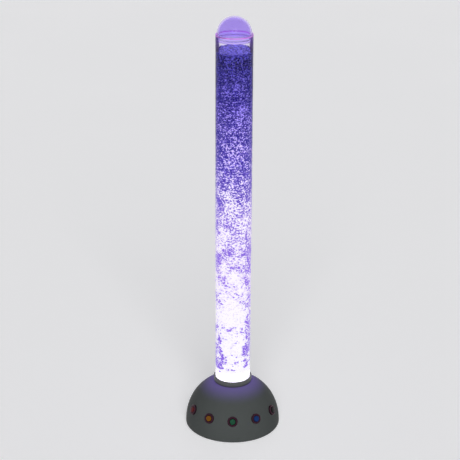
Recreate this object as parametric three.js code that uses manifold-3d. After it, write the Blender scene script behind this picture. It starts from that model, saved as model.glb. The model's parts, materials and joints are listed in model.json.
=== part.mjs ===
// LED bubble tube: a lit, water-filled acrylic column standing in a domed base with five push-buttons.
// Sizes are in millimetres. +Z is up and the front faces -Y. The origin is the middle of the footprint, on
// the surface that the feet stand on.

import * as THREE from "three";
import { mergeVertices } from "three/addons/utils/BufferGeometryUtils.js";
import Module from "manifold-3d";

const wasm = await Module();
wasm.setup();

// Clearances and facet counts

const gap = 0.3; // between neighbouring pieces
const sealGap = 0.15; // between a seal and the faces that it closes
const overrun = 1; // how far a cutter passes the face that it cuts
const mergeTolerance = 1e-4;
const flatness = 0.002; // how far a face may bend before it is kept apart from its neighbour
const domeSides = 36; // facets round the dome
const roundSides = 24; // facets of the tube and of what is concentric with it
const partSides = 12; // facets of a button or the jack
const footSides = 10; // facets of a foot or a button's pad
const smallSides = 7; // facets of a screw, boss, pin or small hole
const hexSides = 6;
const tinySides = 5; // facets of an LED, a nozzle hole or a seal's section

// Tube

const tubeRadius = 40;
const tubeWall = 3;
const tubeLength = 840;
const tubeInsertion = 51; // how much of it stands below the collar's top

// Domed shell

const footProud = 2.5; // from the surface up to the shell's rim
const domeRadius = 108;
const domeRise = 114.5;
const domePower = 2.2; // 2 would be an ellipse; more is squarer
const domeSteps = 7;
const shellWall = 2.8;
const rimTuck = 4; // height of the rounded lower edge
const rimTuckIn = 3.7; // how far that edge draws in
const rimInsideHeight = 8;
const rimTaper = 6;

// Collar, gasket and socket

const collarRim = 3.3; // how far the collar stands outside the tube
const collarHeight = 12.5;
const collarEdge = 0.8;
const shoulderWidth = 1.3;
const glandDepth = 12;
const gasketHeight = 4;
const socketLip = 2.2;
const socketWall = 3;
const socketTaper = 3;
const ledgeWidth = 4;
const ledgeThickness = 4;
const flangeDrop = 20; // from the socket's top down to its flange
const flangeThickness = 4;
const flangeBorder = 7; // from the ring of screws out to the flange's edge
const socketBossRing = 58;
const socketBossRadius = 4.5;
const socketScrewCount = 3;

// Screws

const shankRadius = 1.6;
const shankReach = 9; // into its boss
const headRadius = 3.4;
const headHeight = 1.9;
const headFlatShare = 0.6; // of the head's radius
const driveShare = 0.55; // of the head's radius, from its middle to the end of a slot
const pilotSpare = 2; // pilot hole beyond the screw's end
const driveWidth = 1;
const driveDepth = 0.9;

// Light plug, nozzle plate and seals

const plugHeight = 67;
const plugWall = 4;
const plugDeck = 10;
const nozzleRadius = 23;
const nozzleThickness = 3;
const nozzleHole = 0.8;
const nozzleRings = [1, 6, 8];
const nozzlePitch = 7.5;
const plenumRim = 3;
const plenumDepth = 2;
const sealSection = 1.15; // radius of an O-ring's section
const sealLevel = 14; // above the plug's foot

// LED board

const ledBoardMargin = 3.7; // from the board out to the plug's wall
const ledBoardThickness = 1.6;
const ledBoardHole = 9;
const ledStandoff = 10;
const ledInset = 12; // from the board's edge in to the ring of LEDs
const ledCount = 6;
const ledRadius = 2.5;
const ledLength = 5;
const pegInset = 4;
const pegCount = 3;
const pegBossRadius = 3.2;
const pegRadius = 1.2;
const pegLength = 3.2;
const crownShare = 0.7; // of a rounded end's radius and height
const ledSocketSize = 5;
const ledSocketHeight = 4;

// Air fitting, hose and check valve

const nippleRadius = 2.4;
const nippleBore = 1.1;
const nippleLength = 9;
const barbHeight = 3;
const barbNeck = 0.5;
const fittingRadius = 4;
const fittingHexRadius = 6.5;
const fittingHexHeight = 3.5;
const hoseWall = 1.5;
const hoseSides = 8;
const hoseSteps = 12;
const hoseBend = 13;
const valveRadius = 8;
const valveLength = 18;
const valveEdge = 1.5;
const valveDrop = 6; // from the air fitting's nipple down to the valve's upper nipple

// Bottom plate, feet and screw columns

const plateInset = 0.5;
const plateThickness = 3;
const columnInset = 9;
const columnRadius = 5;
const columnRise = 26;
const columnRib = 3;
const columnAzimuth = 49.5;
const footInset = 12;
const footRadius = 9;
const footEdge = 1;
const footStem = 2.6;
const footBarb = 3.6;
const footBarbRise = 2.4;
const ventCount = 7;
const ventLength = 26;
const ventWidth = 2.6;
const ventPitch = 6;

// Pump

const pumpLength = 84;
const pumpWidth = 46;
const pumpHeight = 33;
const pumpCorner = 7;
const pumpLidHeight = 4;
const pumpLidStep = 1.2;
const pumpPadLength = 14;
const pumpPadHeight = 5;
const pumpPadMargin = 8;
const pumpRibCount = 6;
const pumpRibWidth = 2;
const pumpRibDepth = 1.2;
const outletFlangeRadius = 5;
const outletFlange = 2;
const outletSpigot = 2.6;
const outletSpigotDepth = 4;
const fenceThickness = 2.4;
const fenceHeight = 9;
const fenceLength = 30;

// Control board

const boardLength = 74;
const boardDepth = 38;
const boardThickness = 1.6;
const standoffHeight = 6;
const standoffRadius = 3;
const standoffMargin = 4.5;
const boardTopHeight = 14; // tallest component above the board
const terminalWidth = 10;
const terminalDepth = 6;
const terminalHeight = 7;

// Power jack

const jackHeight = 25; // of its middle above the surface
const jackBodyRadius = 5.4;
const jackBodyLength = 15;
const jackFlangeRadius = 7.6;
const jackFlange = 1.8;
const jackBore = 3.2;
const jackBoreDepth = 9.5;
const jackPin = 1;
const jackSetBack = 2.6; // from the dome's outside in to the jack's seat
const jackBossRadius = 11.5;
const jackBossDepth = 6;
const jackNutRadius = 8.4;
const jackNutThickness = 2.4;

// Buttons

const buttonColours = {
  red: 0x8c0d10,
  yellow: 0xd98a08,
  green: 0x0f6e38,
  blue: 0x0a3fb0,
  black: 0x0b0b0c,
};
const buttonSpacing = 32; // degrees round the dome
const buttonHeight = 52;
const bezelRadius = 11.6;
const bezelProud = 3.2;
const bezelRound = 2.2;
const bezelInnerSlope = 1.7;
const buttonSeatDepth = 0.9;
const buttonPadRadius = 14.5;
const buttonPadDepth = 4.6;
const barrelRadius = 9.2;
const barrelLength = 20;
const capRadius = 6.3;
const capProud = 1.8;
const capCrown = 0.8;
const capShoulderShares = [0.82, 0.7]; // of the plunger's radius and of its crown
const capStem = 10.6;
const buttonWellSpare = 3.3; // free depth below the released plunger
const nutRadius = 12.6;
const nutThickness = 3;
const tagWidth = 3;
const tagThickness = 0.9;
const tagLength = 5;
const tagOffset = 4;

// Lid and water

const lidWall = 3;
const lidFlange = 3;
const lidSkirt = 12;
const lidSteps = 5;
const lidSealSection = 0.85;
const lidSealDepth = 1.85;
const waterGap = 34; // air space below the tube's rim
const frothRise = 6;

// Wiring

const cableRadius = 1.8;
const harnessRadius = 2.2;
const harnessBranch = 1.5;
const harnessInset = 28; // from the dome's outside in to the trunk
const harnessOverhang = 4; // degrees that the trunk runs past the first button
const harnessLeadOut = 24; // degrees past the last button
const harnessLanding = 44; // degrees past the last button, half way down to the board
const harnessDrop = 5;
const cableSides = 6;
const cableSteps = 9;
const harnessSteps = 20;
const branchSteps = 3;
const cableLead = 6; // straight run out of a terminal
const leadShare = 0.25; // of a short cable's run, straight at each end

// Places worked out from the sizes

const bore = tubeRadius - tubeWall;
const rimBottom = footProud;
const collarRadius = tubeRadius + collarRim;
const collarBore = tubeRadius + gap;
const spigotRadius = collarRadius - shoulderWidth;
const shellOpening = spigotRadius + gap;
const landRadius = collarRadius + gap;
const landHeight = domeHeight(landRadius);
const collarSeat = landHeight + gap;
const collarTop = collarSeat + collarHeight;
const tubeFoot = collarTop - tubeInsertion;
const tubeTop = tubeFoot + tubeLength;
const glandRadius = spigotRadius + gap;
const socketTopRadius = glandRadius + socketLip;
const seatRadius = socketTopRadius + gap;
const seatHeight = domeHeight(seatRadius, shellWall);
const socketTop = seatHeight - gap;
const glandFloor = socketTop - glandDepth;
const gasketBottom = glandFloor + gap;
const spigotBottom = gasketBottom + gasketHeight + gap;
const ledgeTop = tubeFoot - gap;
const ledgeBottom = ledgeTop - ledgeThickness;
const ledgeBore = bore - ledgeWidth;
const flangeTop = socketTop - flangeDrop;
const flangeBottom = flangeTop - flangeThickness;
const screwHole = shankRadius + 2 * gap;
const pilotHole = shankRadius + gap;

const plugTop = tubeFoot + plugHeight;
const plugRadius = bore - gap;
const deckBottom = plugTop - plugDeck;
const nozzleBottom = plugTop - nozzleThickness;
const plenumFloor = nozzleBottom - gap - plenumDepth;
const ledBoardRadius = plugRadius - plugWall - ledBoardMargin;
const ledRing = ledBoardRadius - ledInset;
const pegRing = ledBoardRadius - pegInset;
const ledBoardTop = deckBottom - ledStandoff;
const ledBoardBottom = ledBoardTop - ledBoardThickness;

const hoseBore = nippleRadius + gap;
const hoseRadius = hoseBore + hoseWall;
const hexBottom = deckBottom - gap - fittingHexHeight;
const nippleEnd = hexBottom - nippleLength;
const valveNippleTop = nippleEnd - valveDrop;
const valveTop = valveNippleTop - nippleLength;
const valveBottom = valveTop - valveLength;

const plateBottom = rimBottom + plateInset;
const plateTop = plateBottom + plateThickness;
const rimInside = domeRadius - rimTuckIn - shellWall;
const plateRadius = rimInside - gap;
const columnRing = plateRadius - columnInset;
const columnBottom = plateTop + gap;
const footRing = plateRadius - footInset;

const pumpPadBottom = plateTop + gap;
const pumpBottom = pumpPadBottom + pumpPadHeight + gap;
const pumpTop = pumpBottom + pumpHeight;
const pumpLidTop = pumpTop + gap + pumpLidHeight;
const outletHeight = pumpBottom + pumpHeight / 2;
const outletFace = pumpLength / 2;

const boardBottom = plateTop + standoffHeight + gap;
const boardTop = boardBottom + boardThickness;

const jackSeat = domeReach(jackHeight) - jackSetBack;
const jackBossFace = jackSeat - jackBossDepth;
const jackRear = jackSeat - jackBodyLength;
const boardMiddle = (pumpWidth / 2 + jackRear) / 2;

const harnessRing = domeReach(buttonHeight) - harnessInset;

const capTop = bezelProud + capProud;
const capBottom = capTop - capStem;
const wellFloor = capBottom - buttonWellSpare;

const lidSeat = tubeTop + gap;
const domeCentre = lidSeat + lidFlange;
const skirtBottom = domeCentre - lidFlange - lidSkirt;
const waterBottom = plugTop + gap;
const waterTop = tubeTop - waterGap;

// Materials

const silver = new THREE.MeshStandardMaterial({ color: 0xaeb2b1, roughness: 0.42, metalness: 0.35 });
const satinMetal = new THREE.MeshStandardMaterial({ color: 0x9a9ca0, roughness: 0.35, metalness: 0.85 });
const clearAcrylic = new THREE.MeshStandardMaterial({
  color: 0xe9e6ff,
  roughness: 0.04,
  metalness: 0,
  transparent: true,
  opacity: 0.3,
});
const opalAcrylic = new THREE.MeshStandardMaterial({
  color: 0xfaf7ff,
  emissive: 0xd9ccff,
  roughness: 0.3,
  metalness: 0,
});
const litWater = new THREE.MeshStandardMaterial({
  color: 0x8f7cf0,
  emissive: 0x6a50e0,
  roughness: 0.1,
  metalness: 0,
  transparent: true,
  opacity: 0.8,
});
const darkChrome = new THREE.MeshStandardMaterial({ color: 0x54404a, roughness: 0.12, metalness: 1 });
const steel = new THREE.MeshStandardMaterial({ color: 0xa9abad, roughness: 0.3, metalness: 1 });
const brass = new THREE.MeshStandardMaterial({ color: 0xb08d45, roughness: 0.3, metalness: 1 });
const blackPlastic = new THREE.MeshStandardMaterial({ color: 0x1b1c1e, roughness: 0.55, metalness: 0 });
const greyPlastic = new THREE.MeshStandardMaterial({ color: 0x6c6f73, roughness: 0.6, metalness: 0 });
const rubber = new THREE.MeshStandardMaterial({ color: 0x18181a, roughness: 0.9, metalness: 0 });
const silicone = new THREE.MeshStandardMaterial({ color: 0xdcdfe2, roughness: 0.4, metalness: 0 });
const circuitGreen = new THREE.MeshStandardMaterial({ color: 0x14592f, roughness: 0.5, metalness: 0 });
const circuitWhite = new THREE.MeshStandardMaterial({ color: 0xe8e8ea, roughness: 0.5, metalness: 0 });
const wireSheath = new THREE.MeshStandardMaterial({ color: 0x2a2a2e, roughness: 0.7, metalness: 0 });

// Geometry helpers

/** Height of the dome's surface at a radius; an inset gives the surface that lies that far inside. */
function domeHeight(radius, inset = 0) {
  const share = 1 - (radius / (domeRadius - inset)) ** 2;
  return footProud + (domeRise - inset) * share ** (1 / domePower);
}

/** Radius of the dome's surface at a height above the surface that the lamp stands on. */
function domeReach(height, inset = 0) {
  const share = ((height - footProud) / (domeRise - inset)) ** domePower;
  return (domeRadius - inset) * Math.sqrt(1 - share);
}

/** How fast the dome's radius shrinks as the height grows. */
function domeFall(height) {
  const share = ((height - footProud) / domeRise) ** (domePower - 1);
  return (domePower * share * domeRadius ** 2) / (2 * domeRise * domeReach(height));
}

/** A closed geometry as a solid that can be joined and cut. */
function solid(geometry) {
  const bare = geometry.index ? geometry.toNonIndexed() : geometry.clone();
  bare.deleteAttribute("normal");
  bare.deleteAttribute("uv");
  const merged = mergeVertices(bare, mergeTolerance);
  const corners = [];
  const index = merged.index.array;
  for (let i = 0; i < index.length; i += 3) {
    const [a, b, c] = index.slice(i, i + 3);
    if (a !== b && b !== c && c !== a) corners.push(a, b, c);
  }
  return new wasm.Manifold(
    new wasm.Mesh({
      numProp: 3,
      vertProperties: merged.attributes.position.array,
      triVerts: new Uint32Array(corners),
    }),
  );
}

/** A named mesh of a solid. */
function piece(name, body, material) {
  const { vertProperties, triVerts } = body.asOriginal().simplify(flatness).getMesh();
  const geometry = new THREE.BufferGeometry();
  geometry.setAttribute("position", new THREE.BufferAttribute(new Float32Array(vertProperties), 3));
  geometry.setIndex(new THREE.BufferAttribute(new Uint32Array(triVerts), 1));
  geometry.computeVertexNormals();
  const mesh = new THREE.Mesh(geometry, material);
  mesh.name = name;
  return mesh;
}

function join(first, ...others) {
  return others.reduce((sum, body) => sum.add(body), first);
}

function cut(first, ...tools) {
  return tools.reduce((rest, tool) => rest.subtract(tool), first);
}

/** A profile of [radius, height] points turned about +Z. It starts and ends on the axis, or is closed. */
function turned(profile, sides = roundSides) {
  let area = 0;
  profile.forEach(([r, z], i) => {
    const [nextR, nextZ] = profile[(i + 1) % profile.length];
    area += r * nextZ - nextR * z;
  });
  const outline = profile.map(([r, z]) => new THREE.Vector2(r, z));
  if (area < 0) outline.reverse();
  const onAxis = outline[0].x === 0 && outline.at(-1).x === 0;
  if (!onAxis) outline.push(outline[0].clone());
  return solid(new THREE.LatheGeometry(outline, sides).rotateX(Math.PI / 2));
}

/** An upright round bar between two heights. */
function bar(radius, bottom, top, sides = smallSides) {
  const round = new THREE.CylinderGeometry(radius, radius, top - bottom, sides);
  return round.rotateX(Math.PI / 2).translate(0, 0, (bottom + top) / 2);
}

/** A box that stands on a height, centred on a place. */
function block(width, depth, height, x = 0, y = 0, bottom = 0) {
  return new THREE.BoxGeometry(width, depth, height).translate(x, y, bottom + height / 2);
}

/** A rounded rectangle as a shape centred on the origin. */
function roundedRectangle(width, depth, corner) {
  const shape = new THREE.Shape();
  const right = width / 2 - corner;
  const back = depth / 2 - corner;
  shape.absarc(right, back, corner, 0, Math.PI / 2);
  shape.absarc(-right, back, corner, Math.PI / 2, Math.PI);
  shape.absarc(-right, -back, corner, Math.PI, 1.5 * Math.PI);
  shape.absarc(right, -back, corner, 1.5 * Math.PI, 2 * Math.PI);
  return shape;
}

/** An upright extrusion of a shape between two heights. */
function slab(shape, bottom, top, curveSegments = 3) {
  const depth = top - bottom;
  const extrusion = new THREE.ExtrudeGeometry(shape, { depth, bevelEnabled: false, curveSegments });
  return extrusion.translate(0, 0, bottom);
}

/** A ring of round section about +Z. */
function roundRing(ringRadius, section, height) {
  const profile = [];
  for (let i = 0; i < tinySides; i++) {
    const angle = (2 * Math.PI * i) / tinySides;
    profile.push([ringRadius + section * Math.cos(angle), height + section * Math.sin(angle)]);
  }
  return turned(profile);
}

/** Places evenly spaced round +Z, counted from the front. */
function aroundAxis(count, radius, startDegrees = 0) {
  return Array.from({ length: count }, (_, i) => azimuth(radius, startDegrees + (360 * i) / count));
}

/** A place at a radius, at an angle from the front towards the right. */
function azimuth(radius, degrees) {
  const angle = THREE.MathUtils.degToRad(degrees);
  return [radius * Math.sin(angle), -radius * Math.cos(angle)];
}

/** A round section swept along points, with an optional bore. */
function swept(points, radius, innerRadius, sides, steps) {
  const shape = new THREE.Shape();
  polygon(shape, radius, sides);
  if (innerRadius) {
    const hole = new THREE.Path();
    polygon(hole, innerRadius, sides);
    shape.holes.push(hole);
  }
  const extrudePath = new THREE.CatmullRomCurve3(points, false, "centripetal");
  return solid(new THREE.ExtrudeGeometry(shape, { steps, extrudePath, bevelEnabled: false }));
}

function polygon(path, radius, sides) {
  for (let i = 0; i < sides; i++) {
    const angle = (2 * Math.PI * i) / sides;
    const corner = [radius * Math.cos(angle), radius * Math.sin(angle)];
    if (i) path.lineTo(...corner);
    else path.moveTo(...corner);
  }
  path.closePath();
}

function point(x, y, z) {
  return new THREE.Vector3(x, y, z);
}

// Domed base

/** Points of the dome's curve from a height up to a radius, as far inside the surface as the inset. */
function domeCurve(fromHeight, toRadius, inset, steps) {
  const start = Math.acos(domeReach(fromHeight, inset) / (domeRadius - inset));
  const end = Math.acos(toRadius / (domeRadius - inset));
  return Array.from({ length: steps + 1 }, (_, i) => {
    const angle = start + ((end - start) * i) / steps;
    const radius = (domeRadius - inset) * Math.cos(angle);
    return [radius, domeHeight(radius, inset)];
  });
}

/** Everything under the dome's outside, with its rounded lower edge, or under a surface inside it. */
function domeBody(inset = 0) {
  const tuckTop = rimBottom + rimTuck;
  const reach = domeReach(tuckTop, inset);
  const edgeSteps = 2;
  const edge = Array.from({ length: edgeSteps }, (_, i) => {
    const angle = (Math.PI / 2) * (i / edgeSteps);
    return [reach - rimTuckIn * (1 - Math.sin(angle)), rimBottom + rimTuck * (1 - Math.cos(angle))];
  });
  const curve = domeCurve(tuckTop, landRadius, inset, domeSteps);
  return turned([[0, rimBottom], ...edge, ...curve, [0, landHeight - inset]], domeSides);
}

/** The space inside the dome, open at the bottom, with a flat seat for the socket at its top. */
function domeCavity() {
  const taperTop = rimBottom + rimInsideHeight + rimTaper;
  const curve = domeCurve(taperTop, seatRadius, shellWall, domeSteps - 1);
  return turned(
    [
      [0, rimBottom - overrun],
      [rimInside, rimBottom - overrun],
      [rimInside, rimBottom + rimInsideHeight],
      ...curve,
      [0, seatHeight],
    ],
    domeSides,
  );
}

/** Angle of each screw column, counted from the front. */
const columnAngles = [columnAzimuth, 180 - columnAzimuth, 180 + columnAzimuth, 360 - columnAzimuth];
const socketScrewPlaces = aroundAxis(socketScrewCount, socketBossRing, 180);
const columnPlaces = columnAngles.map((degrees) => azimuth(columnRing, degrees));

/** A column for a plate screw with a rib out to the dome's wall. */
function screwColumn(degrees) {
  const [x, y] = azimuth(columnRing, degrees);
  const top = columnBottom + columnRise;
  const column = solid(bar(columnRadius, columnBottom, top).translate(x, y, 0));
  const ribLength = domeRadius - columnRing;
  const rib = block(columnRib, ribLength, columnRise, 0, -columnRing - ribLength / 2, columnBottom);
  return join(column, solid(rib.rotateZ(THREE.MathUtils.degToRad(degrees))));
}

/** Angle of each button, counted from the front. */
const buttonAngles = Object.keys(buttonColours).map(
  (_, i, all) => (i - (all.length - 1) / 2) * buttonSpacing,
);

/** The frame of a button: its origin lies on the dome and its +Z points straight out of the surface. */
function buttonFrame(degrees) {
  const [x, y] = azimuth(domeReach(buttonHeight), degrees);
  const [outX, outY] = azimuth(1, degrees);
  const normal = point(outX, outY, domeFall(buttonHeight)).normalize();
  const frame = new THREE.Group();
  frame.position.set(x, y, buttonHeight);
  frame.quaternion.setFromUnitVectors(point(0, 0, 1), normal);
  frame.updateMatrix();
  return frame;
}

const buttonFrames = buttonAngles.map(buttonFrame);

/** A round bar along +Y for the power jack, between two distances from the tube's axis. */
function jackBar(radius, from, to, sides = partSides) {
  const round = new THREE.CylinderGeometry(radius, radius, to - from, sides);
  return round.translate(0, (from + to) / 2, jackHeight);
}

/** The hole for a screw, from the face that it enters. */
function pilot([x, y], face) {
  return solid(bar(pilotHole, face - overrun, face + shankReach + pilotSpare).translate(x, y, 0));
}

function baseShell() {
  const middleOfWall = domeBody(shellWall / 2);
  const inside = [
    ...columnAngles.map(screwColumn),
    ...socketScrewPlaces.map(([x, y]) =>
      solid(bar(socketBossRadius, flangeTop + gap, landHeight).translate(x, y, 0)),
    ),
    ...buttonFrames.map((frame) =>
      solid(bar(buttonPadRadius, -buttonPadDepth, 0, footSides).applyMatrix4(frame.matrix)),
    ),
    solid(jackBar(jackBossRadius, jackBossFace, domeRadius)),
  ];
  const filled = join(
    cut(domeBody(), domeCavity()),
    ...inside.map((part) => part.intersect(middleOfWall)),
  );
  const holes = [
    ...columnPlaces.map((place) => pilot(place, columnBottom)),
    ...socketScrewPlaces.map((place) => pilot(place, flangeTop + gap)),
    ...buttonFrames.flatMap((frame) => [
      solid(bar(bezelRadius + gap, -buttonSeatDepth, bezelProud, partSides).applyMatrix4(frame.matrix)),
      solid(
        bar(barrelRadius + gap, -buttonPadDepth - overrun, bezelProud, partSides).applyMatrix4(frame.matrix),
      ),
    ]),
    solid(jackBar(jackFlangeRadius + gap, jackSeat, domeRadius + overrun)),
    solid(jackBar(jackBodyRadius + gap, jackBossFace - overrun, domeRadius)),
    solid(bar(shellOpening, socketTop, landHeight + overrun, roundSides)),
  ];
  return piece("base_shell", cut(filled, ...holes), silver);
}

function collar() {
  const ring = turned([
    [collarBore, spigotBottom],
    [spigotRadius, spigotBottom],
    [spigotRadius, collarSeat],
    [collarRadius, collarSeat],
    [collarRadius, collarTop - collarEdge],
    [collarRadius - collarEdge, collarTop],
    [collarBore, collarTop],
  ]);
  return piece("collar", ring, satinMetal);
}

function tubeGasket() {
  const bottom = gasketBottom;
  const top = bottom + gasketHeight;
  const outer = glandRadius - sealGap;
  const inner = tubeRadius + sealGap;
  const ring = turned([
    [inner, bottom],
    [outer, bottom],
    [outer, top],
    [inner, top],
  ]);
  return piece("tube_gasket", ring, rubber);
}

function tubeSocket() {
  const outer = collarBore + socketWall;
  const flangeRadius = socketBossRing + flangeBorder;
  const cup = turned([
    [ledgeBore, ledgeBottom],
    [outer, ledgeBottom],
    [outer, flangeBottom],
    [flangeRadius, flangeBottom],
    [flangeRadius, flangeTop],
    [outer, flangeTop],
    [outer, glandFloor - socketTaper],
    [socketTopRadius, glandFloor],
    [socketTopRadius, socketTop],
    [glandRadius, socketTop],
    [glandRadius, glandFloor],
    [collarBore, glandFloor],
    [collarBore, ledgeTop],
    [ledgeBore, ledgeTop],
  ]);
  const holes = socketScrewPlaces.map(([x, y]) =>
    solid(bar(screwHole, flangeBottom - overrun, flangeTop + overrun).translate(x, y, 0)),
  );
  return piece("tube_socket", cut(cup, ...holes), blackPlastic);
}

/** A pan-head screw with a cross recess, pointing up into its boss. */
function screw(name, [x, y], seat, thickness) {
  const head = seat - gap;
  const shank = bar(shankRadius, head - overrun, seat + thickness + gap + shankReach);
  const pan = turned(
    [
      [0, head - headHeight],
      [headRadius * headFlatShare, head - headHeight],
      [headRadius, head - headHeight / 2],
      [headRadius, head],
      [0, head],
    ],
    smallSides,
  );
  const slotLength = 2 * headRadius * driveShare;
  const slotBottom = head - headHeight - overrun;
  const recess = [
    solid(block(slotLength, driveWidth, overrun + driveDepth, 0, 0, slotBottom)),
    solid(block(driveWidth, slotLength, overrun + driveDepth, 0, 0, slotBottom)),
  ];
  const mesh = piece(name, cut(join(pan, solid(shank)), ...recess), steel);
  mesh.position.set(x, y, 0);
  return mesh;
}

// Tube, lid and water

function tube() {
  const pipe = turned([
    [bore, tubeFoot],
    [tubeRadius, tubeFoot],
    [tubeRadius, tubeTop],
    [bore, tubeTop],
  ]);
  return piece("tube", pipe, clearAcrylic);
}

function lid() {
  const skirt = bore - gap;
  const inside = skirt - lidWall;
  const grooveMiddle = skirtBottom + lidSkirt / 2;
  const groove = lidSealSection + gap;
  const arc = (radius, steps) =>
    Array.from({ length: steps + 1 }, (_, i) => {
      const angle = (Math.PI / 2) * (i / steps);
      const reach = i === steps ? 0 : radius * Math.cos(angle);
      return [reach, domeCentre + radius * Math.sin(angle)];
    });
  const dome = turned([
    ...arc(inside, lidSteps - 1).reverse(),
    [inside, skirtBottom],
    [skirt, skirtBottom],
    [skirt, grooveMiddle - groove],
    [skirt - lidSealDepth, grooveMiddle - groove],
    [skirt - lidSealDepth, grooveMiddle + groove],
    [skirt, grooveMiddle + groove],
    [skirt, lidSeat],
    [tubeRadius, lidSeat],
    [tubeRadius, domeCentre],
    ...arc(bore, lidSteps),
  ]);
  return piece("lid", dome, clearAcrylic);
}

function lidSeal() {
  const middle = bore - sealGap - lidSealSection;
  return piece("lid_seal", roundRing(middle, lidSealSection, skirtBottom + lidSkirt / 2), silicone);
}

function waterColumn() {
  const radius = bore - gap;
  const frothShares = [
    [1, 0],
    [0.8, 0.3],
    [0.45, 0.8],
    [0, 1],
  ];
  const column = turned([
    [0, waterBottom],
    [radius, waterBottom],
    ...frothShares.map(([out, up]) => [radius * out, waterTop + frothRise * up]),
  ]);
  return piece("water_column", column, litWater);
}

// Light plug and air path inside the tube

function lightPlug() {
  const inside = plugRadius - plugWall;
  const grooveHalf = sealSection + gap;
  const grooveFloor = plugRadius + gap - 2 * sealSection - 2 * sealGap;
  const grooveMiddle = tubeFoot + sealLevel;
  const cup = turned([
    [inside, tubeFoot],
    [plugRadius, tubeFoot],
    [plugRadius, grooveMiddle - grooveHalf],
    [grooveFloor, grooveMiddle - grooveHalf],
    [grooveFloor, grooveMiddle + grooveHalf],
    [plugRadius, grooveMiddle + grooveHalf],
    [plugRadius, plugTop],
    [nozzleRadius + gap, plugTop],
    [nozzleRadius + gap, nozzleBottom - gap],
    [nozzleRadius - plenumRim, nozzleBottom - gap],
    [nozzleRadius - plenumRim, plenumFloor],
    [fittingRadius + gap, plenumFloor],
    [fittingRadius + gap, deckBottom],
    [inside, deckBottom],
  ]);
  const pegs = aroundAxis(pegCount, pegRing).flatMap(([x, y]) => [
    solid(bar(pegBossRadius, ledBoardTop + gap, deckBottom + overrun).translate(x, y, 0)),
    solid(bar(pegRadius, ledBoardBottom - pegLength, ledBoardTop + overrun).translate(x, y, 0)),
  ]);
  return piece("light_plug", join(cup, ...pegs), opalAcrylic);
}

function plugSeal() {
  const middle = bore - sealGap - sealSection;
  return piece("plug_seal", roundRing(middle, sealSection, tubeFoot + sealLevel), rubber);
}

function nozzlePlate() {
  const disc = solid(bar(nozzleRadius, nozzleBottom, plugTop, roundSides));
  const holes = nozzleRings.flatMap((count, ring) =>
    aroundAxis(count, ring * nozzlePitch).map(([x, y]) =>
      solid(bar(nozzleHole, nozzleBottom - overrun, plugTop + overrun, tinySides).translate(x, y, 0)),
    ),
  );
  return piece("nozzle_plate", cut(disc, ...holes), clearAcrylic);
}

function ledBoard() {
  const disc = solid(bar(ledBoardRadius, ledBoardBottom, ledBoardTop, roundSides));
  const lamps = aroundAxis(ledCount, ledRing, 180 / ledCount).map(([x, y]) => {
    const lamp = turned(
      [
        [0, ledBoardTop - ledBoardThickness / 2],
        [ledRadius, ledBoardTop - ledBoardThickness / 2],
        [ledRadius, ledBoardTop + ledLength - ledRadius],
        [ledRadius * crownShare, ledBoardTop + ledLength - ledRadius * (1 - crownShare)],
        [0, ledBoardTop + ledLength],
      ],
      tinySides,
    );
    return lamp.translate([x, y, 0]);
  });
  const [socketX, socketY] = ledCablePlace();
  const socket = block(
    ledSocketSize,
    ledSocketSize,
    ledSocketHeight + ledBoardThickness / 2,
    socketX,
    socketY,
    ledBoardBottom - ledSocketHeight,
  );
  const holes = [
    solid(bar(ledBoardHole, ledBoardBottom - overrun, ledBoardTop + overrun, partSides)),
    ...aroundAxis(pegCount, pegRing).map(([x, y]) =>
      solid(bar(pegRadius + gap, ledBoardBottom - overrun, ledBoardTop + overrun).translate(x, y, 0)),
    ),
  ];
  return piece("led_board", join(cut(disc, ...holes), ...lamps, solid(socket)), circuitWhite);
}

/** Beside the back of the board, clear of its pegs and LEDs. */
function ledCablePlace() {
  return azimuth((ledBoardHole + ledBoardRadius) / 2, 180 - 180 / (2 * pegCount));
}

/** A hose nipple's profile from its root out to its end, with barbs that hold the hose. */
function nippleProfile(root, direction) {
  const end = root + direction * nippleLength;
  const profile = [[nippleRadius - barbNeck, root]];
  for (let i = 1; i * barbHeight < nippleLength; i++) {
    profile.push([nippleRadius, root + direction * (i - 1 / 2) * barbHeight]);
    profile.push([nippleRadius - barbNeck, root + direction * i * barbHeight]);
  }
  profile.push([nippleRadius - barbNeck, end], [nippleBore, end]);
  return profile;
}

function airFitting() {
  const spigotTop = plenumFloor - gap;
  const body = turned(
    [
      ...nippleProfile(hexBottom, -1).reverse(),
      [fittingRadius, hexBottom],
      [fittingRadius, spigotTop],
      [nippleBore, spigotTop],
    ],
    smallSides,
  );
  const hex = cut(
    solid(bar(fittingHexRadius, hexBottom, deckBottom - gap, hexSides)),
    solid(bar(nippleBore, hexBottom - overrun, deckBottom + overrun)),
  );
  return piece("air_fitting", join(body, hex), brass);
}

function checkValve() {
  const body = turned(
    [
      ...nippleProfile(valveTop, 1).reverse(),
      [valveRadius - valveEdge, valveTop],
      [valveRadius, valveTop - valveEdge],
      [valveRadius, valveBottom + valveEdge],
      [valveRadius - valveEdge, valveBottom],
      ...nippleProfile(valveBottom, -1),
    ].reverse(),
    smallSides,
  );
  return piece("check_valve", body, clearAcrylic);
}

function airHoseUpper() {
  const hose = turned(
    [
      [hoseBore, valveTop + gap],
      [hoseRadius, valveTop + gap],
      [hoseRadius, hexBottom - gap],
      [hoseBore, hexBottom - gap],
    ],
    smallSides,
  );
  return piece("air_hose_upper", hose, silicone);
}

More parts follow.
